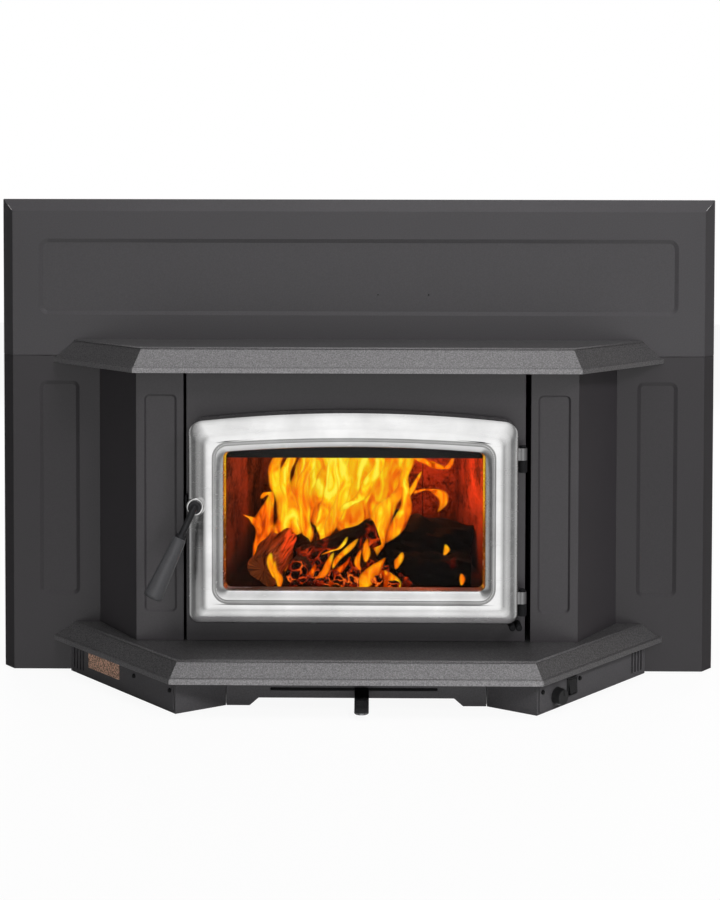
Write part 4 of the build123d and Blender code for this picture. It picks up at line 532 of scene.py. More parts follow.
# ------------------------------------------------------------------ data plate
# A thin bare plate of copper-brown metal on the left box, mottled by heat and
# handling, with nothing written on it.
PLATE_DARK = (0.30, 0.17, 0.125)
PLATE_PALE = (1.0, 0.64, 0.46)
PLATE_EDGE = 0.0002
copper_brown, plate_tree, plate_shader, plate_place = new_finish("copper_brown")
plate_spots = speckle(plate_tree, plate_place, scale=430.0, detail=3.0)["Fac"]
set_inputs(plate_tree, plate_shader, {
    "Base Color": ramp(plate_tree, plate_spots, ((0.40, PLATE_DARK), (0.58, PLATE_PALE))),
    "Metallic": 0.4,
    "Roughness": 0.5,
    "Normal": bumped(plate_tree, plate_spots, strength=0.15, distance=0.0002),
})
finish_piece(softened("data_plate", PLATE_EDGE), "root", copper_brown)


# ------------------------------------------------------------------ knob and switch
# Moulded black plastic: a tapered speed knob and a glossy rocker in its
# bezel, on the right-hand plate.
PLASTIC_COLOUR = (0.022, 0.022, 0.023)
ROCKER_COLOUR = (0.016, 0.016, 0.017)
KNOB_EDGE = 0.0006
SWITCH_EDGE = 0.0005
PLASTIC_TURN = 35


def moulded(name, colour, roughness, texture_scale, depth):
    """Moulded plastic or woven rope with an even fine texture."""
    plastic, tree, shader, place = new_finish(name)
    grain = speckle(tree, place, scale=texture_scale, detail=3.0)["Fac"]
    set_inputs(tree, shader, {
        "Base Color": ramp(tree, grain, (
            (0.0, [c * 0.8 for c in colour]), (1.0, [c * 1.3 for c in colour]),
        )),
        "Roughness": ranged(tree, grain, to_min=roughness - 0.05, to_max=roughness + 0.07),
        "Normal": bumped(tree, grain, strength=depth, distance=0.0002),
    })
    return plastic


black_plastic = moulded("black_plastic", PLASTIC_COLOUR, roughness=0.36, texture_scale=900.0,
                        depth=0.2)
rocker_plastic = moulded("rocker_plastic", ROCKER_COLOUR, roughness=0.20, texture_scale=600.0,
                         depth=0.05)
for node, edge, body, slot, plastic in (
    ("speed_knob", KNOB_EDGE, "knob", "black_plastic", black_plastic),
    ("switch_body", SWITCH_EDGE, "root", "black_plastic", black_plastic),
    ("switch_rocker", SWITCH_EDGE, "rocker", "rocker_plastic", rocker_plastic),
):
    finish_piece(softened(node, edge, PLASTIC_TURN), body, plastic)
coat(black_plastic, "speed_control")


# ------------------------------------------------------------------ blowers
# A cross-flow blower in each box: zinc housing, pressed aluminium wheel and a
# grey enamelled motor.
WHEEL_COLOUR = (0.58, 0.59, 0.61)
MOTOR_COLOUR = (0.11, 0.11, 0.12)
HOUSING_EDGE = 0.0003
MOTOR_EDGE = 0.001
wheel_metal = bare_metal("wheel_metal", WHEEL_COLOUR, roughness=0.34, streak=1.0, scale=240.0)
motor_paint = stove_paint("motor_paint", MOTOR_COLOUR, grain=0.1, roughness=0.4, metal=0.2)
for side in ("left", "right"):
    housing = softened("blower_housing_" + side, HOUSING_EDGE, HARDWARE_TURN)
    finish_piece(housing, "root", zinc)
    motor = softened("blower_motor_" + side, MOTOR_EDGE, HARDWARE_TURN)
    finish_piece(motor, "root", motor_paint)
    coat(wheel_metal, "blower_wheel_" + side)


# ------------------------------------------------------------------ air lever
# The air control's lever is bent strip steel, painted black and worn bright
# where a thumb moves it. Its slider is zinc-plated.
LEVER_WORN_Z = 0.0185
LEVER_RAGGED = 0.004
LEVER_PAINT = (0.020, 0.020, 0.021, 1)
LEVER_BRIGHT = (0.26, 0.26, 0.27, 1)
LEVER_EDGE = 0.0009
LEVER_TURN = 35
lever_steel, lever_tree, lever_shader, lever_place = new_finish("lever_steel")
lever_z = add_node(lever_tree, "SeparateXYZ", {0: lever_place}).outputs["Z"]
lever_grain = speckle(lever_tree, lever_place, scale=240.0, detail=4.0)["Fac"]
lever_line = maths(lever_tree, "MULTIPLY_ADD", lever_grain, LEVER_RAGGED, lever_z)
lever_worn = ranged(lever_tree, lever_line, LEVER_WORN_Z + LEVER_RAGGED, LEVER_WORN_Z)
lever_tone = add_node(lever_tree, "Mix", {
    "A": LEVER_PAINT, "B": LEVER_BRIGHT, "Factor": lever_worn,
}, data_type="RGBA")
set_inputs(lever_tree, lever_shader, {
    "Base Color": lever_tone.outputs["Result"],
    "Metallic": 0.9,
    "Roughness": ranged(lever_tree, lever_worn, to_min=0.5, to_max=0.22),
})
lever = softened("air_lever", LEVER_EDGE, LEVER_TURN)
finish_piece(lever, "air_control", lever_steel)
slider = softened("air_slider", HARDWARE_EDGE, HARDWARE_TURN)
finish_piece(slider, "air_control", zinc)


# ------------------------------------------------------------------ door casting
# One arched iron casting, plated in satin nickel. Its shoulder rolls over in
# one broad curve to a flat crown, and a bevel falls to the glass. Its section
# is given as (inset or spread, depth, depth at the top) in millimetres.
DOOR_EDGES = (-0.248, 0.237, 0.116, 0.4135, 0.014, 0.016, 0.022)
WINDOW_EDGES = (-0.1955, 0.188, 0.1655, 0.3700, 0.008, 0.009, 0.009)
DOOR_SPLIT_Y = -0.1285
SHOULDER = (
    (0.0, 128.5, 128.5), (0.0, 134.0, 138.6), (0.3, 136.0, 139.5), (1.2, 137.6, 140.1),
    (2.5, 138.9, 140.7), (4.5, 140.2, 141.5), (7.5, 141.6, 142.4), (11.0, 143.0, 143.25),
    (12.5, 143.5, 143.6), (17.5, 144.65, 144.65), (22.4, 145.7, 145.7), (23.6, 146.15, 146.15),
    (28.0, 146.58, 146.58), (31.0, 146.7, 146.7),
)
BEVEL_IN = (
    (16.0, 146.7, 146.7), (14.6, 146.7, 146.7), (14.2, 145.2, 145.2), (9.2, 145.2, 145.2),
    (8.8, 146.3, 146.3), (8.2, 146.1, 146.1), (1.2, 140.1, 143.0), (0.4, 139.0, 142.3),
    (0.0, 137.6, 141.2), (-2.0, 128.5, 128.5),
)
# Between these heights a section passes over to its depth at the top.
SHOULDER_TOP = (0.388, 0.412)
BEVEL_TOP = (0.345, 0.368)
# The bevel is wider than its spread by these shares, at the left, right, bottom and top.
BEVEL_WIDER = (0.23, 0.12, 0.41, -0.06)
BEVEL_REACH = 0.0088
RING_STEPS = (14, 10, 14, 12, 48, 12, 14, 10)
SMALLEST_RADIUS = 0.004
BACK_EDGE = 0.0009
LUGS_PAST = 0.0002
NICKEL_COLOUR = (0.84, 0.838, 0.835)
# The hinge lugs' darker nickel is painted shade.
LUG_SHADE_COLOUR = (0.30, 0.298, 0.30)


def arched_ring(edges, spread):
    """Points round an arched opening, spread outwards, from the lower left corner."""
    left, right, low, high, crown, low_radius, high_radius = edges
    left, right, low, high = left - spread, right + spread, low - spread, high + spread
    growth = spread * (1.0 if spread > 0 else 0.4)
    low_radius = max(low_radius + growth, SMALLEST_RADIUS)
    high_radius = max(high_radius + growth, SMALLEST_RADIUS)
    middle = (left + right) / 2
    half = (right - left) / 2
    arch = (half * half + crown * crown) / (2 * crown)
    arch_z = high + crown - arch
    corner_x = right - high_radius
    corner_z = arch_z + math.sqrt((arch - high_radius) ** 2 - (corner_x - middle) ** 2)
    lean = math.atan2(corner_z - arch_z, corner_x - middle)
    points = []

    def straight(start, end, steps):
        for step in range(steps):
            share = step / steps
            points.append((start[0] + (end[0] - start[0]) * share,
                           start[1] + (end[1] - start[1]) * share))

    def bend(centre, radius, begin, finish, steps):
        for step in range(steps):
            angle = begin + (finish - begin) * step / steps
            points.append((centre[0] + radius * math.cos(angle),
                           centre[1] + radius * math.sin(angle)))

    straight((left + low_radius, low), (right - low_radius, low), RING_STEPS[0])
    bend((right - low_radius, low + low_radius), low_radius, -math.pi / 2, 0, RING_STEPS[1])
    straight((right, low + low_radius), (right, corner_z), RING_STEPS[2])
    bend((corner_x, corner_z), high_radius, 0, lean, RING_STEPS[3])
    bend((middle, arch_z), arch, lean, math.pi - lean, RING_STEPS[4])
    bend((2 * middle - corner_x, corner_z), high_radius, math.pi - lean, math.pi, RING_STEPS[5])
    straight((left, corner_z), (left, low + low_radius), RING_STEPS[6])
    bend((left + low_radius, low + low_radius), low_radius, math.pi, 1.5 * math.pi, RING_STEPS[7])
    return points


def window_ring(spread):
    """Points round the window's bevel, which is broadest at the left and below."""
    left, right, low, high, crown, low_radius, high_radius = WINDOW_EDGES
    reach = min(spread, BEVEL_REACH)
    return arched_ring((left - BEVEL_WIDER[0] * reach, right + BEVEL_WIDER[1] * reach,
                        low - BEVEL_WIDER[2] * reach, high + BEVEL_WIDER[3] * reach,
                        crown, low_radius, high_radius), spread)


def rolled_grid(name, around, along, place):
    """A grid rolled up: place gives the point for each step around and along it."""
    bpy.ops.object.select_all(action="DESELECT")
    bpy.ops.mesh.primitive_grid_add(x_subdivisions=around, y_subdivisions=along, size=1.0)
    piece = bpy.context.object
    piece.name = name
    piece.data.name = name
    for index, vertex in enumerate(piece.data.vertices):
        vertex.co = place(index % (around + 1), index // (around + 1))
    bpy.ops.object.mode_set(mode="EDIT")
    bpy.ops.mesh.select_all(action="SELECT")
    bpy.ops.mesh.remove_doubles(threshold=0.000001)
    bpy.ops.mesh.normals_make_consistent(inside=False)
    bpy.ops.object.mode_set(mode="OBJECT")
    return piece


door_rings = [(arched_ring(DOOR_EDGES, -inset / 1000), depth, high, SHOULDER_TOP)
              for inset, depth, high in SHOULDER]
door_rings += [(window_ring(spread / 1000), depth, high, BEVEL_TOP)
               for spread, depth, high in BEVEL_IN]


def door_point(around, along):
    """The point on the door's rolled front, counted round the door and across its section."""
    ring, depth, high, top = door_rings[along % len(door_rings)]
    x, z = ring[around % len(ring)]
    share = min(max((z - top[0]) / (top[1] - top[0]), 0), 1)
    return (x, -(depth + (high - depth) * share) / 1000, z)


door_front = rolled_grid("door_front", sum(RING_STEPS), len(door_rings), door_point)
bpy.ops.object.shade_smooth_by_angle(angle=math.radians(28))
door = softened("door_frame", 0.0)
bpy.ops.object.select_all(action="DESELECT")
door.select_set(True)
bpy.context.view_layer.objects.active = door
bpy.ops.object.mode_set(mode="EDIT")
bpy.ops.mesh.select_all(action="SELECT")
bpy.ops.mesh.bisect(plane_co=(0, DOOR_SPLIT_Y, 0), plane_no=(0, -1, 0), use_fill=True,
                    clear_outer=True)
bpy.ops.object.mode_set(mode="OBJECT")
round_edges(door, BACK_EDGE, 45)
bpy.ops.object.shade_smooth_by_angle(angle=math.radians(40))
door_front.select_set(True)
bpy.ops.object.join()
nickel = bare_metal("satin_nickel", NICKEL_COLOUR, roughness=0.24, streak=0.12, scale=150.0)
# The hinge lugs get a rougher copy of the nickel, darkened by painted shade.
shaded_lug_nickel = bare_metal("shaded_lug_nickel", LUG_SHADE_COLOUR, roughness=0.42, streak=0.12, scale=150.0)
finish_piece(door, "door", nickel)
door.data.materials.append(shaded_lug_nickel)
for face in door.data.polygons:
    if face.center.x > DOOR_EDGES[1] + LUGS_PAST:
        face.material_index = 1


# ------------------------------------------------------------------ rope bead
# A thin twisted bead is cast round the window in the groove between the crown
# and the bevel. One strand of it is shaped and laid round in some 400 copies.
# The bead is a lighter copy of the door's nickel, a painted highlight, and a
# thin dark sheet in the groove's bed is painted shade.
BEAD_PITCH = 0.0030
BEAD_SPREAD = 0.0115
BEAD_DEPTH = 0.1464
BEAD_TWIST = math.radians(42)
STRAND_RADIUS = 0.001
STRAND_SHAPE = (2.0, 0.45, 1.1)
BEAD_HIGHLIGHT_COLOUR = (0.97, 0.965, 0.96)
# The groove's darker nickel is painted shade.
GROOVE_SHADE_COLOUR = (0.56, 0.555, 0.55)
GROOVE_BED = ((14.15, 145.1), (14.15, 145.4), (9.25, 145.4), (9.25, 145.1))
bpy.ops.object.select_all(action="DESELECT")
bpy.ops.mesh.primitive_uv_sphere_add(segments=8, ring_count=6, radius=STRAND_RADIUS)
strand = bpy.context.object
bpy.ops.object.mode_set(mode="EDIT")
bpy.ops.mesh.select_all(action="SELECT")
bpy.ops.transform.resize(value=STRAND_SHAPE)
bpy.ops.object.mode_set(mode="OBJECT")
bead_line = window_ring(BEAD_SPREAD)
bead_line.append(bead_line[0])
bead_parts = []
spare = 0.0
for start, end in zip(bead_line, bead_line[1:]):
    length = math.hypot(end[0] - start[0], end[1] - start[1])
    heading = math.atan2(end[1] - start[1], end[0] - start[0])
    along = spare
    while along < length:
        share = along / length
        part = add_object("strand", strand.data.copy())
        part.data.transform(
            Matrix.Translation((start[0] + (end[0] - start[0]) * share, -BEAD_DEPTH,
                                start[1] + (end[1] - start[1]) * share))
            @ Matrix.Rotation(-heading - BEAD_TWIST, 4, "Y")
        )
        bead_parts.append(part)
        along += BEAD_PITCH
    spare = along - length
bpy.data.objects.remove(strand)
bead = joined(bead_parts, "rope_bead")
bpy.ops.object.shade_smooth()
# A lighter copy of the door's nickel: painted highlight on the bead.
highlit_bead_nickel = bare_metal("highlit_bead_nickel", BEAD_HIGHLIGHT_COLOUR, roughness=0.30, streak=1.0, scale=300.0,
                         spots=0.10)
finish_piece(bead, "door", highlit_bead_nickel)
groove_rings = [(window_ring(spread / 1000), depth) for spread, depth in GROOVE_BED]


def groove_point(around, along):
    """The point on the thin dark sheet of painted shade on the groove's bed."""
    ring, depth = groove_rings[along % len(groove_rings)]
    x, z = ring[around % len(ring)]
    return (x, -depth / 1000, z)


# A thin dark sheet laid in the groove's bed: painted shade.
groove = rolled_grid("bead_groove_shade", sum(RING_STEPS), len(groove_rings), groove_point)
bpy.ops.object.shade_flat()
shaded_groove_nickel = bare_metal("shaded_groove_nickel", GROOVE_SHADE_COLOUR, roughness=0.5, streak=1.0, scale=300.0,
                         spots=0.2)
finish_piece(groove, "door", shaded_groove_nickel)


# ------------------------------------------------------------------ glass and its parts
# Clear ceramic glass in the door, a rope seal round its edge and one behind
# the door, with bent clips and screws.
GLASS_HAZY = (0.96, 0.95, 0.93)
GLASS_CLEAR = (1.0, 1.0, 0.99)
ROPE_COLOUR = (0.05, 0.05, 0.05)
ROPE_EDGE = 0.0012
CLIP_EDGE = 0.0003
fire_glass, glass_tree, glass_shader, glass_place = new_finish("fire_glass")
glass_haze = speckle(glass_tree, glass_place, scale=9.0)["Fac"]
set_inputs(glass_tree, glass_shader, {
    "Base Color": ramp(glass_tree, glass_haze, ((0.0, GLASS_HAZY), (1.0, GLASS_CLEAR))),
    "Roughness": 0.0,
    "IOR": 1.10,
    "Specular IOR Level": 0.10,
    "Transmission Weight": 1.0,
})
coat(fire_glass, "door_glass")
rope_black = moulded("rope_black", ROPE_COLOUR, roughness=0.9, texture_scale=420.0, depth=0.9)
for node in ("glass_seal", "door_seal"):
    finish_piece(softened(node, ROPE_EDGE), "door", rope_black)
for node, body in (
    ("glass_clips", "door"), ("clip_screws", "door"), ("latch_cam", "handle"),
    ("latch_nut", "handle"),
):
    finish_piece(softened(node, CLIP_EDGE, HARDWARE_TURN), body, zinc)


# ------------------------------------------------------------------ logs and embers
# Split logs burning on the brick floor, charred black and cracked, with a
# heap of glowing coals between them. They lie loose in the firebox.
LOG_ROUND = 48
LOG_SPANS = 22
COAL_COUNT = 120
COAL_SHAPES = 4
COAL_RADIUS = 0.0085
COAL_KNOCKS = 0.55
COAL_SIZES = (0.5, 1.15)
COAL_BACK = (0.012, 0.125)
COAL_ACROSS = (-0.105, 0.085)
COAL_FLOOR_Z = 0.119
HEAP_LOW = 0.011
HEAP_RISE = 0.020
HEAP_MIDDLE = -0.01
HEAP_HALF = 0.11
HEAP_FRONT = 0.05


def charred_wood(name, dark, pale, glow, heat):
    """Charred wood: grain along the log, black checks, and a glow deep in the cracks."""
    wood, tree, shader, place = new_finish(name)
    wrap = add_node(tree, "UVMap").outputs[0]
    stretch = add_node(tree, "Mapping", {"Vector": wrap, "Scale": (26.0, 3.5, 1.0)})
    grain = speckle(tree, stretch.outputs[0], scale=1.6, detail=7.0, roughness=0.7,
                    distortion=0.6)["Fac"]
    bent = add_node(tree, "VectorMath", {
        0: speckle(tree, place, scale=40.0, detail=3.0)["Color"], 1: (0.03, 0.03, 0.03), 2: place,
    }, operation="MULTIPLY_ADD")
    checks = add_node(tree, "TexVoronoi", {
        "Vector": bent.outputs[0], "Scale": 62.0,
    }, feature="DISTANCE_TO_EDGE")
    near = ranged(tree, checks.outputs["Distance"], from_min=0.16, from_max=0.0)
    patches = ranged(tree, speckle(tree, place, scale=24.0)["Fac"],
                     from_min=1.0 - glow, from_max=1.22 - glow)
    set_inputs(tree, shader, {
        "Base Color": ramp(tree, grain, ((0.38, dark), (0.68, pale))),
        "Roughness": 0.85,
        "Specular IOR Level": 0.05,
        "Emission Strength": 1.0,
        "Emission Color": ramp(tree, maths(tree, "MULTIPLY", near, patches), (
            (0.0, (0, 0, 0)), (0.40, (0.20 * heat, 0.008 * heat, 0.001)),
            (0.75, (0.75 * heat, 0.07 * heat, 0.004)), (1.0, (heat, 0.30 * heat, 0.02 * heat)),
        )),
        "Normal": bumped(tree, grain, strength=0.9, distance=0.002),
    })
    return wood


def burning_log(name, start, end, radius, rough, wedge, material):
    """A log between two points in millimetres; wedge above 0 makes it a split billet."""
    start, end = Vector(start) / 1000, Vector(end) / 1000
    way = (end - start).normalized()
    side = way.cross(Vector((0, 0, 1))).normalized()
    rise = side.cross(way)
    shares = [0.0, 0.0, 0.0, 0.01]
    shares += [0.03 + 0.94 * span / LOG_SPANS for span in range(LOG_SPANS + 1)]
    shares += [0.99, 1.0, 1.0, 1.0]
    sizes = [0.0, 0.5, 0.93, 0.985] + [1.0] * (LOG_SPANS + 1) + [0.985, 0.93, 0.5, 0.0]

    def log_point(around, along):
        angle = 2 * math.pi * (around % LOG_ROUND) / LOG_ROUND
        split = 1.0 - wedge * (0.5 + 0.5 * math.cos(3 * angle + 0.6))
        centre = start.lerp(end, shares[along])
        lumps = noise.noise(Vector((math.cos(angle) * 2.2, math.sin(angle) * 2.2,
                                    shares[along] * 6)) + start * 90)
        ridges = noise.noise(Vector((math.cos(angle) * 9, math.sin(angle) * 9,
                                     shares[along] * 7)) + end * 70)
        reach = radius / 1000 * sizes[along] * split * (1 + rough * (lumps + 0.45 * ridges))
        return centre + (side * math.cos(angle) + rise * math.sin(angle)) * reach

    piece = rolled_grid(name, LOG_ROUND, len(shares) - 1, log_point)
    bpy.ops.object.shade_smooth_by_angle(angle=math.radians(42))
    return finish_piece(piece, "root", material)


# The split log's bright orange is painted firelight over its own grain.
firelit_wood = charred_wood("firelit_wood", dark=(0.030, 0.006, 0.002), pale=(0.80, 0.18, 0.035),
                            glow=0.42, heat=0.8)
charcoal = charred_wood("charcoal", dark=(0.003, 0.002, 0.002), pale=(0.020, 0.012, 0.009),
                        glow=0.54, heat=1.0)
dead_charcoal = charred_wood("dead_charcoal", dark=(0.001, 0.001, 0.001),
                             pale=(0.006, 0.005, 0.005), glow=0.34, heat=0.30)
burning_log("log_split_left", (-150, 52, 147), (-104, 262, 186), 31, 0.16, 0.30, firelit_wood)
burning_log("log_round_back", (-101, 140, 160), (-60, 300, 178), 21, 0.14, 0.0, charcoal)
burning_log("log_low_left", (-100, 62, 138), (-74, 262, 142), 18, 0.16, 0.0, charcoal)
burning_log("log_low_middle", (-27, 50, 130), (-18, 220, 136), 10.5, 0.14, 0.0, dead_charcoal)
burning_log("log_crossing", (-98, 128, 143), (30, 150, 188), 23, 0.20, 0.10, charcoal)
burning_log("log_back_right", (36, 205, 176), (190, 196, 150), 46, 0.38, 0.22, dead_charcoal)
burning_log("log_front_right", (52, 92, 136), (184, 84, 134), 32, 0.34, 0.10, dead_charcoal)

random.seed(7)
coal_glow = charred_wood("glowing_coal", dark=(0.003, 0.002, 0.002), pale=(0.020, 0.008, 0.005),
                         glow=0.66, heat=0.9)
coals = []
coal_moves = []
for index in range(COAL_COUNT):
    if index < COAL_SHAPES:
        bpy.ops.object.select_all(action="DESELECT")
        bpy.ops.mesh.primitive_ico_sphere_add(subdivisions=2, radius=COAL_RADIUS)
        coal = bpy.context.object
        for vertex in coal.data.vertices:
            knock = noise.noise(vertex.co * 160 + Vector((index * 7, 0, 0)))
            vertex.co = vertex.co * (1 + COAL_KNOCKS * knock)
    else:
        coal = add_object("coal", coals[index % COAL_SHAPES].data.copy())
    back = random.uniform(*COAL_BACK)
    across = random.uniform(*COAL_ACROSS)
    inward = max(0.0, 1 - abs(across - HEAP_MIDDLE) / HEAP_HALF)
    heap = HEAP_LOW + HEAP_RISE * inward * min(1.0, back / HEAP_FRONT)
    turn = (Matrix.Rotation(random.uniform(0, 6.2), 4, "Z")
            @ Matrix.Rotation(random.uniform(0, 6.2), 4, "X"))
    size = Matrix.Scale(random.uniform(*COAL_SIZES), 4)
    lift = COAL_FLOOR_Z + heap * random.uniform(0.25, 1.0)
    coal_moves.append(Matrix.Translation((across, back, lift)) @ turn @ size)
    coals.append(coal)
for coal, move in zip(coals, coal_moves):
    coal.data.transform(move)
coal_bed = joined(coals, "coal_bed")
bpy.ops.object.shade_flat()
finish_piece(coal_bed, "root", coal_glow)


# ------------------------------------------------------------------ flames
# Flames drawn up towards the baffle, as flattened tongues along rising lines:
# a glowing mass behind, licks in front of it, and small ones over the coals.
# Each tongue is a line of (x, z, half width) in millimetres.
FLAMES_BACK = (
    ((-105, 147, 3.4), (-101, 178, 15.5), (-95, 218, 24.1), (-84, 261, 27.5), (-74, 299, 24.1),
     (-67, 331, 13.7), (-64, 351, 1.7)),
    ((-67, 144, 3.4), (-58, 185, 18.9), (-50, 227, 27.5), (-43, 270, 29.2), (-36, 310, 24.1),
     (-29, 338, 12), (-28, 355, 1.7)),
    ((-15, 149, 3.4), (-15, 182, 20.6), (-7, 224, 31), (3, 265, 32.7), (12, 307, 27.5),
     (19, 334, 13.7), (22, 353, 1.7)),
    ((26, 165, 3.4), (36, 210, 22.4), (45, 248, 25.8), (53, 286, 24), (63, 314, 18.9),
     (74, 334, 10.3), (77, 352, 1.7)),
)
FLAMES_MIDDLE = (
    ((-127, 99, 1.7), (-125, 134, 6.7), (-130, 161, 10.1), (-127, 188, 15.1), (-115, 215, 18.5),
     (-122, 241, 16.8), (-137, 264, 13.4), (-142, 288, 10.1), (-134, 310, 8.4), (-125, 330, 6.7),
     (-119, 347, 1.7)),
    ((-113, 165, 3.4), (-105, 193, 11.8), (-112, 226, 15.1), (-120, 252, 10.1), (-125, 279, 8.4),
     (-114, 305, 8.4), (-105, 327, 5), (-102, 343, 1.7)),
    ((-88, 158, 1.7), (-85, 182, 8.4), (-93, 207, 10.1), (-92, 232, 10.1), (-97, 256, 10.1),
     (-90, 280, 8.4), (-83, 305, 8.4), (-83, 330, 5), (-80, 347, 1.7)),
    ((-61, 151, 1.7), (-60, 180, 5), (-61, 209, 8.4), (-53, 238, 11.7), (-43, 265, 10.1),
     (-46, 290, 6.7), (-41, 313, 6.7), (-35, 337, 1.7)),
    ((-41, 182, 1.7), (-35, 212, 6.7), (-30, 241, 11.7), (-26, 268, 13.4), (-30, 290, 11.7),
     (-35, 310, 8.4), (-40, 330, 5), (-42, 344, 1.7)),
    ((-31, 219, 3.4), (-16, 233, 8.4), (1, 243, 10.1), (14, 263, 10.1), (26, 283, 10.1),
     (34, 305, 8.4), (39, 327, 5), (42, 344, 1.7)),
    ((33, 147, 1.7), (31, 165, 10.1), (33, 191, 15.1), (39, 216, 16.8), (48, 235, 15.1),
     (63, 248, 11.7), (73, 265, 8.4), (78, 284, 6.7), (84, 305, 8.4), (89, 327, 5),
     (92, 344, 1.7)),
    ((46, 169, 1.7), (59, 189, 11.7), (73, 213, 11.7), (79, 235, 8.4), (76, 257, 6.7),
     (73, 277, 5), (76, 294, 1.7)),
    ((-182, 115, 1.7), (-174, 139, 5), (-169, 161, 8.4), (-160, 183, 13.4), (-159, 205, 15.1),
     (-154, 225, 10.1), (-147, 244, 5), (-145, 257, 1.7)),
    ((-159, 181, 5), (-167, 197, 10.1), (-177, 208, 6.7), (-186, 213, 3.4), (-192, 217, 1.7)),
    ((-145, 229, 1.7), (-144, 244, 3.4), (-149, 254, 6.7), (-157, 249, 5), (-162, 242, 1.7)),
    ((89, 321, 6.7), (103, 311, 10), (121, 304, 11.7), (136, 296, 11.7), (148, 297, 6.7),
     (155, 309, 3.3), (156, 321, 1.7)),
    ((96, 250, 1.7), (104, 257, 6.7), (118, 258, 10.1), (133, 253, 11.7), (141, 242, 8.4),
     (140, 230, 5), (131, 218, 1.7)),
    ((78, 240, 1.7), (89, 257, 5), (99, 274, 3.4), (106, 290, 1.7)),
)
FLAMES_FRONT = (
    ((13, 162, 1.6), (15, 176, 6.4), (16, 189, 4.8), (18, 202, 1.6)),
    ((5, 149, 1.6), (0, 163, 4.8), (2, 175, 3.2), (5, 184, 1.6)),
    ((60, 152, 1.6), (63, 165, 6.4), (68, 173, 4.8), (71, 181, 1.6)),
    ((138, 177, 1.6), (142, 185, 4.8), (140, 195, 1.6)),
    ((164, 124, 1.6), (166, 135, 4.8), (166, 145, 1.6)),
    ((-77, 116, 1.6), (-68, 131, 6.4), (-53, 147, 6.4), (-45, 165, 4.8), (-40, 179, 1.6)),
    ((3, 116, 4.8), (13, 133, 12.9), (23, 149, 12.9), (34, 162, 6.4), (44, 172, 1.6)),
    ((63, 117, 4.8), (58, 133, 9.7), (50, 146, 6.4), (45, 154, 1.6)),
    ((-60, 173, 1.6), (-45, 179, 3.2), (-32, 183, 3.2), (-23, 192, 3.2), (-16, 204, 1.6)),
    ((-40, 152, 1.6), (-31, 168, 4.8), (-19, 181, 6.4), (-8, 192, 4.8), (2, 202, 1.6)),
    ((-134, 137, 1.6), (-137, 153, 4.8), (-140, 168, 4.8), (-139, 179, 1.6)),
    ((-124, 122, 1.6), (-127, 138, 6.5), (-132, 153, 4.8), (-131, 168, 1.6)),
)
FLAMES_LOW = (
    ((-46, 118, 4), (-38, 134, 7), (-28, 148, 6), (-18, 158, 3), (-12, 168, 1.5)),
    ((8, 116, 9), (16, 130, 13), (28, 144, 10), (36, 156, 5), (44, 164, 1.5)),
    ((50, 118, 8), (52, 130, 11), (44, 142, 7), (34, 150, 1.5)),
    ((-24, 114, 8), (-14, 124, 11), (-4, 132, 7), (2, 142, 1.5)),
    ((-88, 122, 4), (-80, 134, 7), (-72, 146, 4), (-70, 156, 1.5)),
)
# Each group has its name, lines and depth, and its fire's name, coolness, paleness and thinness.
FLAME_GROUPS = (
    ("flames_back", FLAMES_BACK, 0.215, ("fire_behind", 0.92, -0.04, -0.12)),
    ("flames_middle", FLAMES_MIDDLE, 0.155, ("fire_front", 1.0, 0.06, 0.0)),
    ("flames_low", FLAMES_LOW, 0.060, ("fire_low", 0.9, -0.30, 0.25)),
    ("flames_front", FLAMES_FRONT, 0.045, ("fire_licks", 1.0, 0.24, 0.20)),
)
FLAME_HEART = (-0.035, 0.16, 0.295)
FLAME_TONES = (
    (0.22, (0.95, 0.13, 0.001)), (0.45, (1.0, 0.27, 0.002)), (0.66, (1.0, 0.44, 0.004)),
    (0.84, (1.0, 0.68, 0.010)),
)
FLAME_ROUND = 16
FLAME_STEPS = 26
FLAME_WIDTH = 1.2
FLAME_FLAT = 0.45
FLAME_SWAY = 0.004
FLAME_STAGGER = 0.004
FIRE_COLOUR = (1.0, 0.20, 0.04)
# Each lamp has its name, place, power and size.
FIRE_LAMPS = (
    ("fire_lamp_left", (-0.085, 0.10, 0.20), 0.17, 0.03),
    ("fire_lamp_right", (0.095, 0.16, 0.26), 1.3, 0.03),
    ("fire_lamp_low", (-0.02, 0.045, 0.19), 0.03, 0.02),
)


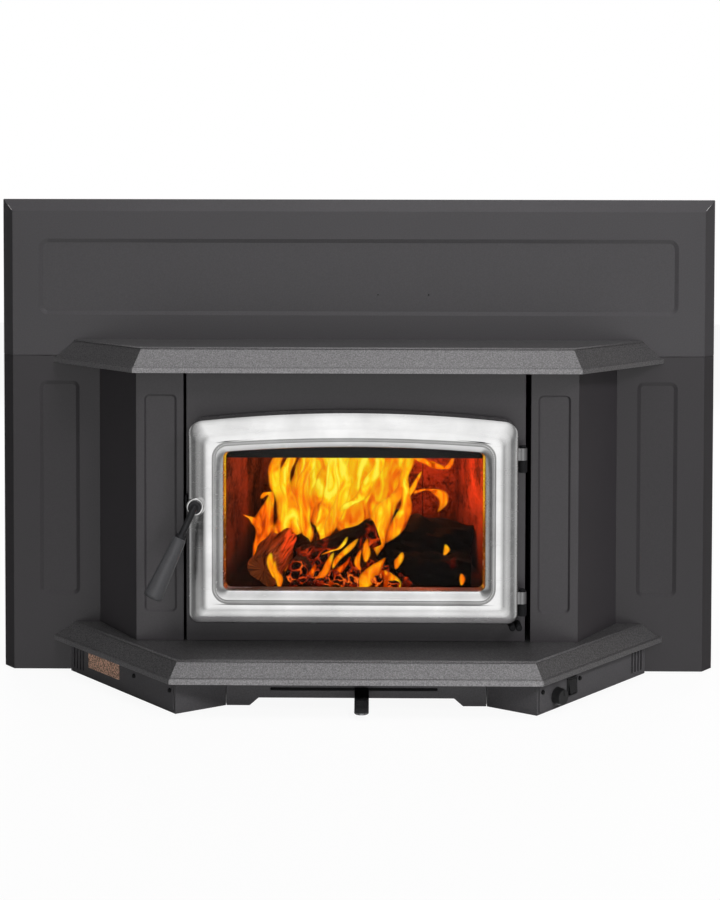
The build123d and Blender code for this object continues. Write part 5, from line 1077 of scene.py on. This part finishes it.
def flame_material(name, cool, pale, thin):
    """Fire: orange at its edges, yellow in its streaks, fading out at edge and tip."""
    fire, tree, shader, place = new_finish(name)
    wrap = add_node(tree, "SeparateXYZ", {0: add_node(tree, "UVMap").outputs[0]}).outputs
    core = maths(tree, "ABSOLUTE", maths(
        tree, "SINE", maths(tree, "MULTIPLY", wrap["X"], 2 * math.pi)))
    drawn = add_node(tree, "Mapping", {"Vector": place, "Scale": (1.0, 1.0, 0.30)})
    streaks = speckle(tree, drawn.outputs[0], scale=46.0, detail=3.0, distortion=1.4)["Fac"]
    lift = maths(tree, "MULTIPLY_ADD", streaks, 2.3, -0.90 + pale)
    away = add_node(tree, "VectorMath", {0: place, 1: FLAME_HEART}, operation="DISTANCE")
    glare = ranged(tree, away.outputs["Value"], from_max=0.16, to_min=0.42, to_max=-0.36)
    heat = maths(tree, "MULTIPLY_ADD", core, 0.42, maths(tree, "ADD", lift, glare))
    tones = [(0.0, (0.45, 0.028, 0.0))]
    tones += [(stop, (red * cool, green * cool, blue)) for stop, (red, green, blue) in FLAME_TONES]
    tones += [(1.0, (1.0, 0.85, 0.06))]
    edge = maths(tree, "MULTIPLY_ADD", core, 1.6, streaks)
    solid = ranged(tree, edge, 0.95 + thin, 1.95 + thin)
    fade = ramp(tree, wrap["Y"], (
        (0.0, (0, 0, 0)), (0.14, (1, 1, 1)), (0.72, (1, 1, 1)), (1.0, (0, 0, 0)),
    ))
    set_inputs(tree, shader, {
        "Base Color": (0.0, 0.0, 0.0, 1),
        "Roughness": 1.0,
        "Specular IOR Level": 0.0,
        "Emission Strength": 1.0,
        "Emission Color": ramp(tree, heat, tones),
        "Alpha": maths(tree, "MULTIPLY", solid, fade),
    })
    return fire


def flame_tongue(name, line, depth):
    """One flame along a line, rolled as a flat tube with pointed ends."""
    knots = [line[0]] + list(line) + [line[-1]]
    spans = len(line) - 1

    def flame_point(around, along):
        reach = along / FLAME_STEPS * spans
        index = min(int(reach), spans - 1)
        t = reach - index
        before, here, there, after = [Vector(k) for k in knots[index:index + 4]]
        spot = 0.5 * (2 * here + (there - before) * t
                      + (2 * before - 5 * here + 4 * there - after) * t * t
                      + (3 * here - before - 3 * there + after) * t ** 3)
        tip = min(1.0, along / 2, (FLAME_STEPS - along) / 2)
        width = FLAME_WIDTH * max(spot.z, 0.4) * tip / 1000
        angle = 2 * math.pi * (around % FLAME_ROUND) / FLAME_ROUND
        sway = noise.noise(Vector((spot.x / 30, depth * 20, spot.y / 26))) * FLAME_SWAY
        return (spot.x / 1000 + width * math.cos(angle) + sway,
                depth + FLAME_FLAT * width * math.sin(angle) + 2 * sway, spot.y / 1000)

    piece = rolled_grid(name, FLAME_ROUND, FLAME_STEPS, flame_point)
    bpy.ops.object.shade_smooth()
    return piece


for name, lines, depth, (fire_name, cool, pale, thin) in FLAME_GROUPS:
    tongues = [
        flame_tongue(name + "_tongue", line, depth - FLAME_STAGGER * (index % 4))
        for index, line in enumerate(lines)
    ]
    finish_piece(joined(tongues, name), "root",
                 flame_material(fire_name, cool, pale, thin))
for name, place, power, size in FIRE_LAMPS:
    data = bpy.data.lights.new(name, "POINT")
    data.energy = power
    data.color = FIRE_COLOUR
    data.shadow_soft_size = size
    lamp = add_object(name, data)
    lamp.location = place
    lamp.visible_camera = False
    lamp.visible_transmission = False


# ------------------------------------------------------------------ handle
# A bright bush in the door carries a bent black rod with a tapered moulded
# grip, which turns to work the latch.
BUSH_COLOUR = (0.78, 0.775, 0.77)
BUSH_EDGE = 0.0008
ROD_COLOUR = (0.028, 0.028, 0.030)
GRIP_COLOUR = (0.066, 0.066, 0.070)
bright_nickel = bare_metal("bright_nickel", BUSH_COLOUR, roughness=0.16, streak=1.0, scale=200.0)
bush = softened("handle_bush", BUSH_EDGE, HARDWARE_TURN)
finish_piece(bush, "door", bright_nickel)
rod_black = stove_paint("rod_black", ROD_COLOUR, grain=0.15, roughness=0.36, metal=0.4)
finish_piece(softened("handle_rod", 0.0, smooth=50), "handle", rod_black)
grip_black = moulded("grip_black", GRIP_COLOUR, roughness=0.40, texture_scale=500.0, depth=0.35)
finish_piece(softened("handle_grip", 0.0, smooth=50), "handle", grip_black)
